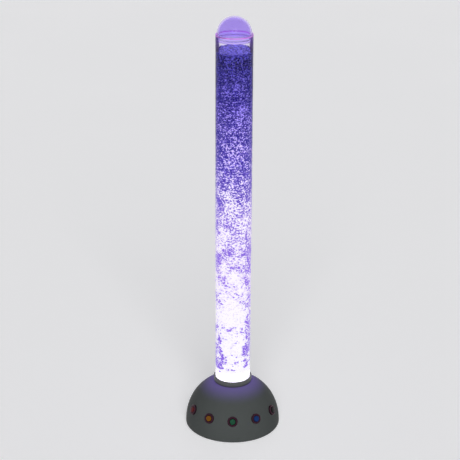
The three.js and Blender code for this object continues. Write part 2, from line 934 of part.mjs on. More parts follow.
function airHoseLower() {
  const start = outletFace + gap + outletFlange + gap;
  const turn = start + nippleLength + gap;
  const crossing = outletHeight + 2 * hoseBend;
  const bendShare = Math.SQRT1_2;
  const inner = hoseBend * (1 - bendShare);
  const points = [
    point(start, 0, outletHeight),
    point((start + turn) / 2, 0, outletHeight),
    point(turn, 0, outletHeight),
    point(turn + hoseBend * bendShare, 0, outletHeight + inner),
    point(turn + hoseBend, 0, outletHeight + hoseBend),
    point(turn + hoseBend * bendShare, 0, crossing - inner),
    point(turn, 0, crossing),
    point((turn + hoseBend) / 2, 0, crossing),
    point(hoseBend, 0, crossing),
    point(inner, 0, crossing + inner),
    point(0, 0, crossing + hoseBend),
    point(0, 0, (crossing + hoseBend + valveBottom) / 2),
    point(0, 0, valveBottom - gap),
  ];
  return piece("air_hose_lower", swept(points, hoseRadius, hoseBore, hoseSides, hoseSteps), silicone);
}

// Pump

function pumpHousing() {
  const outline = roundedRectangle(pumpLength, pumpWidth, pumpCorner);
  const box = solid(slab(outline, pumpBottom, pumpTop));
  const ribs = Array.from({ length: pumpRibCount }, (_, i) => {
    const x = ((i + 1 / 2) / pumpRibCount - 1 / 2) * (pumpLength - 2 * pumpCorner);
    return [-1, 1].map((side) =>
      solid(
        block(
          pumpRibWidth,
          2 * pumpRibDepth,
          pumpHeight - 2 * pumpRibWidth,
          x,
          (side * pumpWidth) / 2,
          pumpBottom + pumpRibWidth,
        ),
      ),
    );
  }).flat();
  const port = new THREE.CylinderGeometry(
    outletSpigot + gap,
    outletSpigot + gap,
    outletSpigotDepth + gap + overrun,
    smallSides,
  )
    .rotateZ(Math.PI / 2)
    .translate((pumpLength - outletSpigotDepth - gap + overrun) / 2, 0, outletHeight);
  return piece("pump_housing", cut(box, ...ribs, solid(port)), greyPlastic);
}

function pumpLid() {
  const bottom = pumpTop + gap;
  const middle = bottom + pumpLidHeight / 2;
  const wide = slab(roundedRectangle(pumpLength, pumpWidth, pumpCorner), bottom, middle);
  const narrow = roundedRectangle(
    pumpLength - 2 * pumpLidStep,
    pumpWidth - 2 * pumpLidStep,
    pumpCorner - pumpLidStep,
  );
  return piece("pump_lid", join(solid(wide), solid(slab(narrow, bottom, pumpLidTop))), blackPlastic);
}

function pumpPad(name, side) {
  const x = side * (pumpLength / 2 - pumpPadMargin - pumpPadLength / 2);
  const shape = roundedRectangle(pumpPadLength, pumpWidth - 2 * pumpLidStep, pumpPadLength / 4);
  const mesh = piece(name, solid(slab(shape, pumpPadBottom, pumpPadBottom + pumpPadHeight)), rubber);
  mesh.position.x = x;
  return mesh;
}

function pumpOutlet() {
  const flangeEnd = gap + outletFlange;
  const body = turned(
    [
      ...nippleProfile(flangeEnd, 1).reverse(),
      [outletFlangeRadius, flangeEnd],
      [outletFlangeRadius, gap],
      [outletSpigot, gap],
      [outletSpigot, -outletSpigotDepth],
      [nippleBore, -outletSpigotDepth],
    ].reverse(),
    smallSides,
  );
  const mesh = piece("pump_outlet", body, blackPlastic);
  mesh.position.set(outletFace, 0, outletHeight);
  mesh.rotation.y = Math.PI / 2;
  return mesh;
}

// Bottom plate and what stands on it

const boardPegPlaces = [-1, 1].flatMap((x) =>
  [-1, 1].map((y) => [
    x * (boardLength / 2 - standoffMargin),
    boardMiddle + y * (boardDepth / 2 - standoffMargin),
  ]),
);
const footNames = ["front", "right", "back", "left"];
const footPlaces = aroundAxis(footNames.length, footRing);

function bottomPlate() {
  const disc = solid(bar(plateRadius, plateBottom, plateTop, domeSides));
  const standoffs = boardPegPlaces.flatMap(([x, y]) => [
    solid(bar(standoffRadius, plateTop - overrun, plateTop + standoffHeight).translate(x, y, 0)),
    solid(bar(pegRadius, plateTop, boardTop + pegLength / 2).translate(x, y, 0)),
  ]);
  const fenceReach = pumpWidth / 2 + gap + fenceThickness / 2;
  const fences = [-1, 1].map((side) =>
    solid(
      block(
        fenceLength,
        fenceThickness,
        fenceHeight + overrun,
        0,
        side * fenceReach,
        plateTop - overrun,
      ),
    ),
  );
  const vents = Array.from({ length: ventCount }, (_, i) =>
    solid(
      block(
        ventWidth,
        ventLength,
        plateThickness + 2 * overrun,
        (i - (ventCount - 1) / 2) * ventPitch,
        -pumpWidth / 2 - fenceThickness - gap - ventLength,
        plateBottom - overrun,
      ),
    ),
  );
  const holes = [
    ...columnPlaces.map(([x, y]) => [screwHole, x, y]),
    ...footPlaces.map(([x, y]) => [footStem + gap, x, y]),
  ].map(([radius, x, y]) =>
    solid(bar(radius, plateBottom - overrun, plateTop + overrun).translate(x, y, 0)),
  );
  return piece("bottom_plate", cut(join(disc, ...standoffs, ...fences), ...vents, ...holes), blackPlastic);
}

/** A rubber foot whose stem snaps through the plate. */
function foot(name, [x, y]) {
  const discTop = plateBottom - gap;
  const stemTop = plateTop + gap;
  const body = turned(
    [
      [0, 0],
      [footRadius - footEdge, 0],
      [footRadius, footEdge],
      [footRadius, discTop],
      [footStem, discTop],
      [footStem, stemTop],
      [footBarb, stemTop],
      [footStem / 2, stemTop + footBarbRise],
      [0, stemTop + footBarbRise],
    ],
    footSides,
  );
  const mesh = piece(name, body, rubber);
  mesh.position.set(x, y, 0);
  return mesh;
}

/** Each component is [x, y, width, depth, height] as shares of the board's length, depth and top height. */
const componentShares = [
  [0.3, 0.12, 0.26, 0.42, 0.9],
  [-0.16, 0.2, 0.14, 0.3, 0.45],
  [0.08, -0.1, 0.12, 0.16, 0.2],
  [-0.06, -0.24, 0.1, 0.22, 0.3],
  [-0.3, 0.16, 0.08, 0.16, 1],
];

function controlBoard() {
  const card = solid(block(boardLength, boardDepth, boardThickness, 0, boardMiddle, boardBottom));
  const rooted = boardTop - boardThickness / 2;
  const components = componentShares.map(([x, y, width, depth, height]) =>
    solid(
      block(
        width * boardLength,
        depth * boardDepth,
        height * boardTopHeight + boardThickness / 2,
        x * boardLength,
        boardMiddle + y * boardDepth,
        rooted,
      ),
    ),
  );
  const terminals = Object.values(boardTerminals()).map(({ x, y }) =>
    solid(
      block(terminalWidth, terminalDepth, terminalHeight + boardThickness / 2, x, y, rooted),
    ),
  );
  const holes = boardPegPlaces.map(([x, y]) =>
    solid(bar(pegRadius + gap, boardBottom - overrun, boardTop + overrun).translate(x, y, 0)),
  );
  return piece("control_board", cut(join(card, ...components, ...terminals), ...holes), circuitGreen);
}

/** Middle of each cable terminal on the board. */
function boardTerminals() {
  const front = boardMiddle - boardDepth / 2 + terminalDepth / 2;
  const back = boardMiddle + boardDepth / 2 - terminalDepth / 2;
  const side = boardLength / 4;
  return {
    power: { x: 0, y: back },
    pump: { x: -side, y: front },
    led: { x: side, y: front },
    buttons: { x: terminalWidth / 2 - boardLength / 2, y: boardMiddle },
  };
}

function powerJack() {
  const flangeFace = jackSeat + gap + jackFlange;
  const body = join(
    solid(jackBar(jackBodyRadius, jackRear, flangeFace)),
    solid(jackBar(jackFlangeRadius, jackSeat + gap, flangeFace)),
  );
  const socket = solid(jackBar(jackBore, flangeFace - jackBoreDepth, flangeFace + overrun, smallSides));
  const pin = solid(jackBar(jackPin, flangeFace - jackBoreDepth - overrun, flangeFace - overrun, smallSides));
  return piece("power_jack", join(cut(body, socket), pin), blackPlastic);
}

function jackNut() {
  const front = jackBossFace - gap;
  const nut = cut(
    solid(jackBar(jackNutRadius, front - jackNutThickness, front, hexSides)),
    solid(jackBar(jackBodyRadius + gap, front - jackNutThickness - overrun, front + overrun)),
  );
  return piece("jack_nut", nut, steel);
}

// Buttons

function buttonBody(name) {
  const boreRadius = capRadius + gap;
  const tagRoot = -barrelLength;
  const body = turned(
    [
      [0, tagRoot],
      [barrelRadius, tagRoot],
      [barrelRadius, -buttonSeatDepth + gap],
      [bezelRadius, -buttonSeatDepth + gap],
      [bezelRadius, bezelProud - bezelRound],
      [bezelRadius - bezelRound, bezelProud],
      [boreRadius + bezelInnerSlope, bezelProud],
      [boreRadius, bezelProud - bezelInnerSlope],
      [boreRadius, wellFloor],
      [0, wellFloor],
    ],
    partSides,
  );
  const tags = [-tagOffset, tagOffset].map((x) =>
    solid(block(tagThickness, tagWidth, tagLength + overrun, x, 0, tagRoot - tagLength)),
  );
  return piece(name, join(body, ...tags), darkChrome);
}

function buttonCap(name, colour) {
  const [shoulderOut, shoulderUp] = capShoulderShares;
  const plunger = turned(
    [
      [0, capBottom],
      [capRadius, capBottom],
      [capRadius, capTop - capCrown],
      [capRadius * shoulderOut, capTop - capCrown * (1 - shoulderUp)],
      [0, capTop],
    ],
    partSides,
  );
  const material = new THREE.MeshStandardMaterial({ color: colour, roughness: 0.25, metalness: 0 });
  return piece(name, plunger, material);
}

function buttonNut(name) {
  const top = -buttonPadDepth - gap;
  const nut = cut(
    solid(bar(nutRadius, top - nutThickness, top, hexSides)),
    solid(bar(barrelRadius + gap, top - nutThickness - overrun, top + overrun, partSides)),
  );
  return piece(name, nut, steel);
}

function buttons() {
  return Object.entries(buttonColours).map(([colour, shade], index) => {
    const frame = buttonFrames[index];
    frame.add(
      buttonBody(`button_body_${colour}`),
      buttonCap(`button_cap_${colour}`, shade),
      buttonNut(`button_nut_${colour}`),
    );
    return frame;
  });
}

// Wiring

function powerCable() {
  const { x, y } = boardTerminals().power;
  const start = jackRear - gap;
  const end = y + terminalDepth / 2 + gap;
  const lead = leadShare * (end - start);
  const low = boardTop + terminalHeight / 2;
  const points = [
    point(x, start, jackHeight),
    point(x, start + lead, jackHeight),
    point(x, end - lead, low),
    point(x, end, low),
  ];
  return piece("power_cable", swept(points, cableRadius, 0, cableSides, cableSteps), wireSheath);
}

function pumpCable() {
  const { x, y } = boardTerminals().pump;
  const start = pumpWidth / 2 + gap;
  const end = y - terminalDepth / 2 - gap;
  const lead = leadShare * (end - start);
  const low = boardTop + terminalHeight / 2;
  const points = [
    point(x, start, outletHeight),
    point(x, start + lead, outletHeight),
    point(x, end - lead, low),
    point(x, end, low),
  ];
  return piece("pump_cable", swept(points, cableRadius, 0, cableSides, cableSteps), wireSheath);
}

/** Down through the tube's socket and behind the pump into the top of its terminal. */
function ledCable() {
  const [startX, startY] = ledCablePlace();
  const { x, y } = boardTerminals().led;
  const top = ledBoardBottom - ledSocketHeight - gap;
  const low = boardTop + terminalHeight + gap;
  const points = [
    point(startX, startY, top),
    point(startX, startY, top - cableLead),
    point(startX, startY, (top + ledgeBottom) / 2),
    point(startX, startY, ledgeBottom),
    point((startX + x) / 2, (startY + y) / 2, pumpLidTop + cableLead),
    point(x, y, pumpLidTop - cableLead),
    point(x, y, low + cableLead),
    point(x, y, low),
  ];
  return piece("led_cable", swept(points, cableRadius, 0, cableSides, 2 * cableSteps), wireSheath);
}

/** One trunk behind the five buttons with a branch to each, led round the left-hand side to the board. */
function buttonHarness() {
  const rear = -barrelLength - tagLength - gap;
  const tails = buttonFrames.map((frame) => point(0, 0, rear).applyMatrix4(frame.matrix));
  const height = tails[0].z - harnessDrop;
  const { x, y } = boardTerminals().buttons;
  const endX = x - terminalWidth / 2 - gap;
  const low = boardTop + terminalHeight / 2;
  const around = (degrees, z) => point(...azimuth(harnessRing, degrees), z);
  const first = buttonAngles.at(-1);
  const last = buttonAngles[0];
  const stops = [first + harnessOverhang, ...[...buttonAngles].reverse(), last - harnessLeadOut];
  const trunk = stops.map((degrees) => around(degrees, height));
  trunk.push(around(last - harnessLanding, (height + low) / 2));
  trunk.push(point(endX - cableLead, y, low), point(endX, y, low));
  const branches = tails.map((tail, index) => {
    const inward = around(buttonAngles[index], height);
    const lead = point(0, 0, rear - cableLead / 2).applyMatrix4(buttonFrames[index].matrix);
    return swept([tail, lead, inward], harnessBranch, 0, cableSides, branchSteps);
  });
  const harness = join(swept(trunk, harnessRadius, 0, cableSides, harnessSteps), ...branches);
  return piece("button_harness", harness, wireSheath);
}

// Assembly

const lamp = new THREE.Group();
lamp.name = "led_bubble_tube";
lamp.add(
  baseShell(),
  collar(),
  tubeGasket(),
  tubeSocket(),
  tube(),
  lid(),
  lidSeal(),
  waterColumn(),
  lightPlug(),
  plugSeal(),
  nozzlePlate(),
  ledBoard(),
  airFitting(),
  checkValve(),
  airHoseUpper(),
  airHoseLower(),
  pumpHousing(),
  pumpLid(),
  pumpOutlet(),
  pumpPad("pump_pad_left", -1),
  pumpPad("pump_pad_right", 1),
  bottomPlate(),
  controlBoard(),
  powerJack(),
  jackNut(),
  powerCable(),
  pumpCable(),
  ledCable(),
  buttonHarness(),
  ...buttons(),
);
socketScrewPlaces.forEach((place, i) => {
  lamp.add(screw(`socket_screw_${i + 1}`, place, flangeBottom, flangeThickness));
});
columnPlaces.forEach((place, i) => {
  lamp.add(screw(`plate_screw_${i + 1}`, place, plateBottom, plateThickness));
});
footNames.forEach((side, i) => {
  lamp.add(foot(`foot_${side}`, footPlaces[i]));
});

export default lamp;
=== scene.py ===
"""Visual model of a led bubble tube: a lit column of bubbling water on a domed base with five buttons."""

import json
import math
import random

import bmesh
import bpy
from bpy.props import FloatProperty, FloatVectorProperty, IntProperty, PointerProperty
from mathutils import Matrix, Vector


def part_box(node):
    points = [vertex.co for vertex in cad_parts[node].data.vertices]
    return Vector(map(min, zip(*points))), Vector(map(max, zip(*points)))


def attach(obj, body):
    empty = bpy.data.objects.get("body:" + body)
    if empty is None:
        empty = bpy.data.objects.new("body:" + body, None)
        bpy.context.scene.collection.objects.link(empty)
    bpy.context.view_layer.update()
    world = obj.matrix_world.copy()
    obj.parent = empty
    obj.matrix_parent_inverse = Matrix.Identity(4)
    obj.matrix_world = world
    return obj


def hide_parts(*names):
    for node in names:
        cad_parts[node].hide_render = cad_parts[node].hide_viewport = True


bl_info = {
    "name": "Bubble Tube",
    "version": (1, 0, 0),
    "blender": (4, 5, 0),
    "location": "3D View > Sidebar > Bubble Tube",
    "description": "Builds the pieces, finishes and stage of a bubble tube on its packed frame",
    "category": "Object",
}

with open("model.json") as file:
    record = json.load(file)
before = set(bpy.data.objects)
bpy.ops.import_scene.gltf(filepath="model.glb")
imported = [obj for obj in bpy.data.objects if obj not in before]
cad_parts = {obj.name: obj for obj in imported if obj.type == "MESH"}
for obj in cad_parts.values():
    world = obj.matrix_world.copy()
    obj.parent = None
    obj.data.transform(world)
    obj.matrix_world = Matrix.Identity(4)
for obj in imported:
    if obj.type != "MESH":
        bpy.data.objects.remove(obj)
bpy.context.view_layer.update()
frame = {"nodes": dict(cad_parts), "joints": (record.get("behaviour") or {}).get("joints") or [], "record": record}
BUTTONS = ("red", "yellow", "green", "blue", "black")
FIT = 0.0003  # Clearance round a piece that fits into another


def low(node):
    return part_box(node)[0]


def high(node):
    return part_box(node)[1]


def middle_height(node):
    return (low(node).z + high(node).z) / 2


# Sizes and colours


def length(name, description, default):
    return FloatProperty(
        name=name, description=description, default=default, min=0.0, precision=5, unit="LENGTH"
    )


def colour(name, description, default):
    return FloatVectorProperty(
        name=name, description=description, default=default, min=0.0, max=1.0, size=3, subtype="COLOR"
    )


class DomeSizes(bpy.types.PropertyGroup):
    """The domed base"""

    radius: length("Radius", "Radius of the full dome at its rim", 0.108)
    rise: length("Rise", "Height of the full dome over its rim", 0.1145)
    rim: length("Rim", "Height of the rim over the floor", low("base_shell").z)
    top: length("Top", "Height of the flat land under the collar", high("base_shell").z)
    wall: length("Wall", "Wall thickness", 0.0028)
    power: FloatProperty(
        name="Squareness", description="Two is an ellipse, more is squarer", default=2.2, min=1.0
    )


class TubeSizes(bpy.types.PropertyGroup):
    """The column and what fills it"""

    radius: length("Radius", "Outer radius of the tube", high("tube").x)
    wall: length("Wall", "Wall thickness of the tube", 0.003)
    foot: length("Foot", "Height of the tube's lower end", low("tube").z)
    top: length("Top", "Height of the tube's rim", high("tube").z)
    core: length("Core", "Radius of the dense middle of the bubbles", 0.0357)
    bubbles: IntProperty(
        name="Bubbles", description="Single bubbles in each third of the column", default=2300, min=1
    )
    froth: IntProperty(name="Froth", description="Bubbles in the froth at the surface", default=760, min=1)
    bubble: length("Bubble", "Usual radius of a bubble", 0.0012)


class ButtonSizes(bpy.types.PropertyGroup):
    """The push-buttons"""

    bezel: length("Bezel", "Outer radius of the bezel", 0.0116)
    proud: length("Proud", "Height of the bezel over the dome", 0.0032)
    bore: length("Bore", "Radius of the bezel's bore", 0.0066)
    sunk: length("Sunk", "Depth of the bezel under the dome's surface", 0.0006)
    barrel: length("Barrel", "Radius of the barrel behind the dome", 0.0092)
    depth: length("Depth", "Length of the barrel behind the dome", 0.020)
    cap: length("Cap", "Radius of the plunger", 0.0063)
    cap_top: length("Cap top", "Height of the plunger's crown over the dome", 0.0050)
    cap_foot: length("Cap foot", "Depth of the plunger's foot under the dome's surface", 0.0056)


class LampColours(bpy.types.PropertyGroup):
    """Colours of the lamp"""

    paint: colour("Paint", "Satin paint of the base", (0.088, 0.097, 0.095))
    metal: colour("Metal", "Satin metal of the collar", (0.135, 0.14, 0.14))
    bezel: colour("Bezel", "Polished bezels", (0.048, 0.018, 0.030))
    # Glow is painted light: a violet glow painted onto the top of the base
    glow: colour("Glow", "Violet light of the column", (0.32, 0.17, 1.0))
    # Rim is painted light: a glow painted onto the acrylic's cut edges
    rim: colour("Rim", "Light at the cut edges of the acrylic", (0.50, 0.15, 0.62))
    red: colour("Red", "Red plunger", (0.105, 0.006, 0.008))
    yellow: colour("Yellow", "Yellow plunger", (0.20, 0.078, 0.002))
    green: colour("Green", "Green plunger", (0.008, 0.072, 0.034))
    blue: colour("Blue", "Blue plunger", (0.002, 0.030, 0.145))
    black: colour("Black", "Black plunger", (0.003, 0.003, 0.0035))


def dome():
    return bpy.context.scene.lamp_dome


def column():
    return bpy.context.scene.lamp_column


def push():
    return bpy.context.scene.lamp_push


def tints():
    return bpy.context.scene.lamp_tints


# Materials


class Finish:
    """A material with a Principled shader, and short ways to add the nodes that drive it."""

    def __init__(self, name, **sockets):
        self.material = bpy.data.materials.new(name)
        self.material.use_nodes = True
        self.tree = self.material.node_tree
        self.shader = self.tree.nodes["Principled BSDF"]
        for socket, value in sockets.items():
            self.plain(socket.replace("_", " "), value)
        self.place = self.add("TexCoord").outputs["Object"]

    def plain(self, socket, value):
        """A value that is the same all over, on the shader's own socket."""
        if not isinstance(value, (int, float)) and len(value) == 3:
            value = (*value, 1.0)
        self.shader.inputs[socket].default_value = value

    def add(self, kind, **settings):
        """A new node of the shader tree, with its settings."""
        node = self.tree.nodes.new("ShaderNode" + kind)
        for key, value in settings.items():
            setattr(node, key, value)
        return node

    def feed(self, socket, value):
        """Links a pattern to a node's socket, or sets a plain value there."""
        if isinstance(value, bpy.types.NodeSocket):
            self.tree.links.new(value, socket)
        elif not isinstance(value, (int, float)) and socket.type == "RGBA" and len(value) == 3:
            socket.default_value = (*value, 1.0)
        else:
            socket.default_value = value

    def drive(self, socket, value):
        """Feeds a pattern to one of the shader's own sockets."""
        self.feed(self.shader.inputs[socket], value)

    def stretched(self, x, y, z):
        """The place on the object, scaled along each axis."""
        node = self.add("Mapping")
        self.feed(node.inputs["Vector"], self.place)
        node.inputs["Scale"].default_value = (x, y, z)
        return node.outputs["Vector"]

    def noise(self, scale, detail=3.0, vector=None, distortion=0.0):
        node = self.add("TexNoise")
        self.feed(node.inputs["Vector"], vector or self.place)
        node.inputs["Scale"].default_value = scale
        node.inputs["Detail"].default_value = detail
        node.inputs["Distortion"].default_value = distortion
        return node.outputs["Fac"]

    def cells(self, scale, vector=None):
        node = self.add("TexVoronoi", feature="SMOOTH_F1")
        self.feed(node.inputs["Vector"], vector or self.place)
        node.inputs["Scale"].default_value = scale
        node.inputs["Smoothness"].default_value = 0.35
        return node.outputs["Distance"]

    def along(self, axis):
        """The place on the object along one axis, in metres."""
        node = self.add("SeparateXYZ")
        self.feed(node.inputs["Vector"], self.place)
        return node.outputs[axis]

    def worked_out(self, operation, a, b):
        node = self.add("Math", operation=operation)
        self.feed(node.inputs[0], a)
        self.feed(node.inputs[1], b)
        return node.outputs["Value"]

    def sum(self, a, b):
        return self.worked_out("ADD", a, b)

    def product(self, a, b):
        return self.worked_out("MULTIPLY", a, b)

    def spread(self, value, least, most, to_least=0.0, to_most=1.0):
        """A smooth step from one number to another, over a range of a pattern's values."""
        node = self.add("MapRange", interpolation_type="SMOOTHSTEP")
        self.feed(node.inputs["Value"], value)
        ends = {"From Min": least, "From Max": most, "To Min": to_least, "To Max": to_most}
        for socket, number in ends.items():
            node.inputs[socket].default_value = number
        return node.outputs["Result"]

    def ramp(self, value, stops):
        """Shades at their stops, each a colour or one number for a grey."""
        node = self.add("ValToRGB")
        self.feed(node.inputs["Fac"], value)
        marks = node.color_ramp.elements
        while len(marks) < len(stops):
            marks.new(0.5)
        for mark, (share, shade) in zip(marks, stops):
            mark.position = share
            mark.color = (*shade, 1.0) if isinstance(shade, tuple) else (shade, shade, shade, 1.0)
        return node.outputs["Color"]

    def blend(self, share, a, b):
        node = self.add("Mix", data_type="RGBA")
        self.feed(node.inputs["Factor"], share)
        self.feed(node.inputs["A"], a)
        self.feed(node.inputs["B"], b)
        return node.outputs["Result"]

    def relief(self, value, strength, distance):
        """Fine bumps on the surface."""
        node = self.add("Bump")
        self.feed(node.inputs["Height"], value)
        node.inputs["Strength"].default_value = strength
        node.inputs["Distance"].default_value = distance
        self.drive("Normal", node.outputs["Normal"])


def toned(shade, share):
    """A darker tone of a colour, or a lighter one where the share is over one."""
    return tuple(part * share for part in shade)


def satin_paint():
    """Silver-grey paint with fine flake and a slight orange peel, and a painted violet glow near its top for the
    column's light.
    """
    shade = tuple(tints().paint)
    glow_foot, glow_top = 0.078, dome().top + 0.004
    finish = Finish("satin_paint", Metallic=0.05, Specular_IOR_Level=0.04)
    flake = finish.noise(2600.0, detail=1.0)
    cloud = finish.noise(9.0, detail=3.0)
    base = finish.blend(finish.spread(flake, 0.35, 0.65), toned(shade, 0.88), toned(shade, 1.1))
    dull = finish.spread(cloud, 0.3, 0.7, 0.0, 0.25)
    finish.drive("Base Color", finish.blend(dull, base, toned(shade, 0.8)))
    finish.drive("Roughness", finish.spread(cloud, 0.25, 0.75, 0.46, 0.56))
    # Painted light: the paint glows violet towards the top of the dome, standing in for the column's light on it
    glow = finish.worked_out("POWER", finish.spread(finish.along("Z"), glow_foot, glow_top), 1.6)
    finish.drive("Emission Color", finish.blend(glow, (0.0, 0.0, 0.0), toned(tints().glow, 0.2)))
    finish.plain("Emission Strength", 1.0)
    finish.relief(finish.noise(420.0, detail=2.0), strength=0.06, distance=0.0004)
    return finish.material


def spun_metal(name, shade, roughness=0.3):
    """Turned metal, with fine lines round its axis."""
    finish = Finish(name, Metallic=1.0)
    lines = finish.noise(1.0, detail=2.0, vector=finish.stretched(6.0, 6.0, 5200.0))
    finish.drive("Base Color", finish.blend(lines, toned(shade, 0.82), toned(shade, 1.12)))
    finish.drive("Roughness", finish.spread(lines, 0.2, 0.8, roughness * 0.8, roughness * 1.2))
    finish.relief(lines, strength=0.05, distance=0.0002)
    return finish.material


def clear_acrylic(name, shade, glow):
    """Polished acrylic with faint wipe marks, and a painted violet glow over the water that stands in for the
    column's light carried up its wall.
    """
    glow_foot, glow_top = high("water_column").z - 0.02, column().top
    finish = Finish(name, Base_Color=shade, Transmission_Weight=1.0, IOR=1.24, Specular_IOR_Level=0.3)
    marks = finish.noise(14.0, detail=4.0, vector=finish.stretched(1.0, 1.0, 0.25))
    finish.drive("Roughness", finish.spread(marks, 0.45, 0.8, 0.004, 0.05))
    # Painted light: a violet glow that grows with height over the water
    finish.plain("Emission Color", (0.30, 0.12, 1.0))
    finish.drive("Emission Strength", finish.spread(finish.along("Z"), glow_foot, glow_top, 0.006, glow))
    return finish.material


def lit_edge():
    """Cut edges of the acrylic, with a painted glow for the light that its wall carries out there."""
    finish = Finish("lit_edge", Roughness=0.4, Specular_IOR_Level=0.2, Emission_Strength=1.0)
    patch = finish.spread(finish.noise(38.0, detail=2.0), 0.35, 0.65)
    # Painted light: both the edges' colour and their glow come from the rim light's colour
    shade = tuple(tints().rim)
    finish.drive("Base Color", finish.blend(patch, toned(shade, 0.25), toned(shade, 0.45)))
    finish.drive("Emission Color", finish.blend(patch, toned(shade, 0.45), shade))
    return finish.material


def clear_water():
    """Water, very slightly ruffled."""
    finish = Finish(
        "clear_water", Base_Color=(0.93, 0.91, 1.0), Transmission_Weight=1.0, IOR=1.12, Specular_IOR_Level=0.3
    )
    finish.drive("Roughness", finish.spread(finish.noise(60.0, detail=2.0), 0.4, 0.7, 0.0, 0.02))
    return finish.material


# Light of the column from the plug (0) to the top (1), in the gaps, in the haze and in the bubbles
GAP_STOPS = (
    (0.0, (0.24, 0.12, 0.74)),
    (0.3, (0.32, 0.18, 0.78)),
    (0.5, (0.18, 0.10, 0.64)),
    (0.66, (0.046, 0.028, 0.36)),
    (0.88, (0.012, 0.008, 0.16)),
    (1.0, (0.0, 0.0, 0.03)),
)
HAZE_STOPS = (
    (0.0, (0.94, 0.91, 0.94)),
    (0.3, (0.82, 0.73, 0.90)),
    (0.5, (0.54, 0.41, 0.84)),
    (0.66, (0.22, 0.145, 0.74)),
    (0.88, (0.050, 0.036, 0.37)),
    (1.0, (0.006, 0.005, 0.15)),
)
FLECK_STOPS = (
    (0.0, (1.0, 1.0, 1.0)),
    (0.58, (0.98, 0.94, 0.96)),
    (0.70, (0.78, 0.66, 0.99)),
    (0.84, (0.36, 0.28, 0.92)),
    (0.94, (0.100, 0.082, 0.53)),
    (1.0, (0.075, 0.065, 0.45)),
)
# How crowded the bubbles are from the plug to the top, and the painted shade that thins them at the left and right
COVER_STOPS = (
    (0.0, 0.9),
    (0.010, 0.9),
    (0.013, 0.34),
    (0.07, 0.33),
    (0.14, 0.27),
    (0.19, 0.24),
    (0.25, 0.14),
    (0.35, 0.14),
    (0.44, 0.165),
    (0.58, 0.09),
    (0.70, 0.02),
    (0.86, 0.0),
    (0.965, 0.0),
    (0.992, 0.08),
)
SIDE_SHADE_STOPS = ((0.1, 0.05), (0.3, 0.08), (0.5, 0.12), (0.65, 0.10), (0.8, 0.02))


def column_share(finish):
    """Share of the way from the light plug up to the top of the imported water."""
    node = finish.add("MapRange")
    finish.feed(node.inputs["Value"], finish.along("Z"))
    node.inputs["From Min"].default_value = high("light_plug").z
    node.inputs["From Max"].default_value = high("water_column").z
    return node.outputs["Result"]


def side_shade_and_patches(finish, share):
    """Painted shade as fewer bubbles at the column's left and right, more of it near the plug, and random thin
    patches there.
    """
    across = finish.worked_out("POWER", finish.product(finish.along("X"), 1.0 / column().core), 2.0)
    patches = finish.spread(finish.noise(60.0, detail=1.0), 0.42, 0.58, -0.08, 0.14)
    # Near the plug: more painted side shade, and random thin patches
    foot = finish.sum(finish.spread(across, 0.15, 0.6, 0.0, 0.26), patches)
    foot = finish.product(foot, finish.spread(share, 0.06, 0.2, 1.0, 0.0))
    # Painted shade: the crowd of bubbles thins towards the column's left and right
    painted_side_shade = finish.product(finish.spread(across, 0.1, 0.9), finish.ramp(share, SIDE_SHADE_STOPS))
    return finish.sum(painted_side_shade, foot)


def lit_bubbles():
    """The dense middle of the column: bright bubbles crowded on violet, white-hot at the foot."""
    finish = Finish("lit_bubbles", Roughness=1.0, Specular_IOR_Level=0.0, Emission_Strength=1.0)
    share = column_share(finish)
    squeezed = finish.stretched(0.8, 0.8, 1.2)
    coarse = finish.noise(165.0, detail=2.5, vector=squeezed, distortion=0.6)
    fine = finish.noise(245.0, detail=1.5, vector=squeezed, distortion=0.6)
    worms = finish.blend(finish.spread(share, 0.2, 0.5), coarse, fine)
    spots = finish.spread(finish.cells(270.0, squeezed), 0.1, 0.6, 0.13, -0.13)
    clumps = finish.spread(finish.noise(34.0, detail=2.0), 0.3, 0.7, -0.07, 0.07)
    drifts = finish.spread(finish.noise(17.0, detail=1.0), 0.35, 0.65, -0.11, 0.07)
    drifts = finish.product(drifts, finish.spread(share, 0.3, 0.6, 1.0, 0.2))
    cover = finish.worked_out("SUBTRACT", finish.ramp(share, COVER_STOPS), side_shade_and_patches(finish, share))
    level = finish.sum(finish.sum(worms, spots), finish.sum(finish.sum(clumps, drifts), cover))
    gaps, haze, flecks = (finish.ramp(share, stops) for stops in (GAP_STOPS, HAZE_STOPS, FLECK_STOPS))
    shade = finish.blend(finish.spread(level, 0.43, 0.48), gaps, haze)
    shade = finish.blend(finish.spread(level, 0.52, 0.58), shade, flecks)
    finish.drive("Base Color", finish.blend(0.1, (0.0, 0.0, 0.0), shade))
    finish.drive("Emission Color", shade)
    return finish.material


def bubble_skin():
    """Single bubbles, lit from below."""
    finish = Finish("bubble_skin", Roughness=0.5, Emission_Strength=1.0, Specular_IOR_Level=0.0)
    share = column_share(finish)
    dim = finish.spread(finish.noise(190.0, detail=1.0), 0.47, 0.54)
    finish.drive("Base Color", finish.blend(dim, (0.003, 0.003, 0.01), (0.012, 0.01, 0.03)))
    haze, flecks = finish.ramp(share, HAZE_STOPS), finish.ramp(share, FLECK_STOPS)
    finish.drive("Emission Color", finish.blend(dim, haze, flecks))
    return finish.material


def froth_skin():
    """Froth at the surface, brighter than the bubbles under it."""
    finish = Finish("froth_skin", Roughness=0.5, Emission_Strength=1.0, Specular_IOR_Level=0.05)
    dim = finish.spread(finish.noise(170.0, detail=1.0), 0.42, 0.58)
    finish.drive("Base Color", finish.blend(dim, (0.004, 0.003, 0.02), (0.012, 0.01, 0.04)))
    finish.drive("Emission Color", finish.blend(dim, (0.035, 0.028, 0.26), (0.16, 0.135, 0.70)))
    return finish.material


def violet_bubble():
    """A bubble that shows the water's violet in front of the plug's white light."""
    finish = Finish("violet_bubble", Roughness=0.15, Emission_Strength=1.0)
    patch = finish.noise(300.0, detail=1.0)
    finish.drive("Base Color", finish.blend(patch, (0.05, 0.02, 0.2), (0.1, 0.04, 0.3)))
    finish.drive("Emission Color", finish.blend(patch, (0.14, 0.03, 0.60), (0.20, 0.05, 0.70)))
    return finish.material


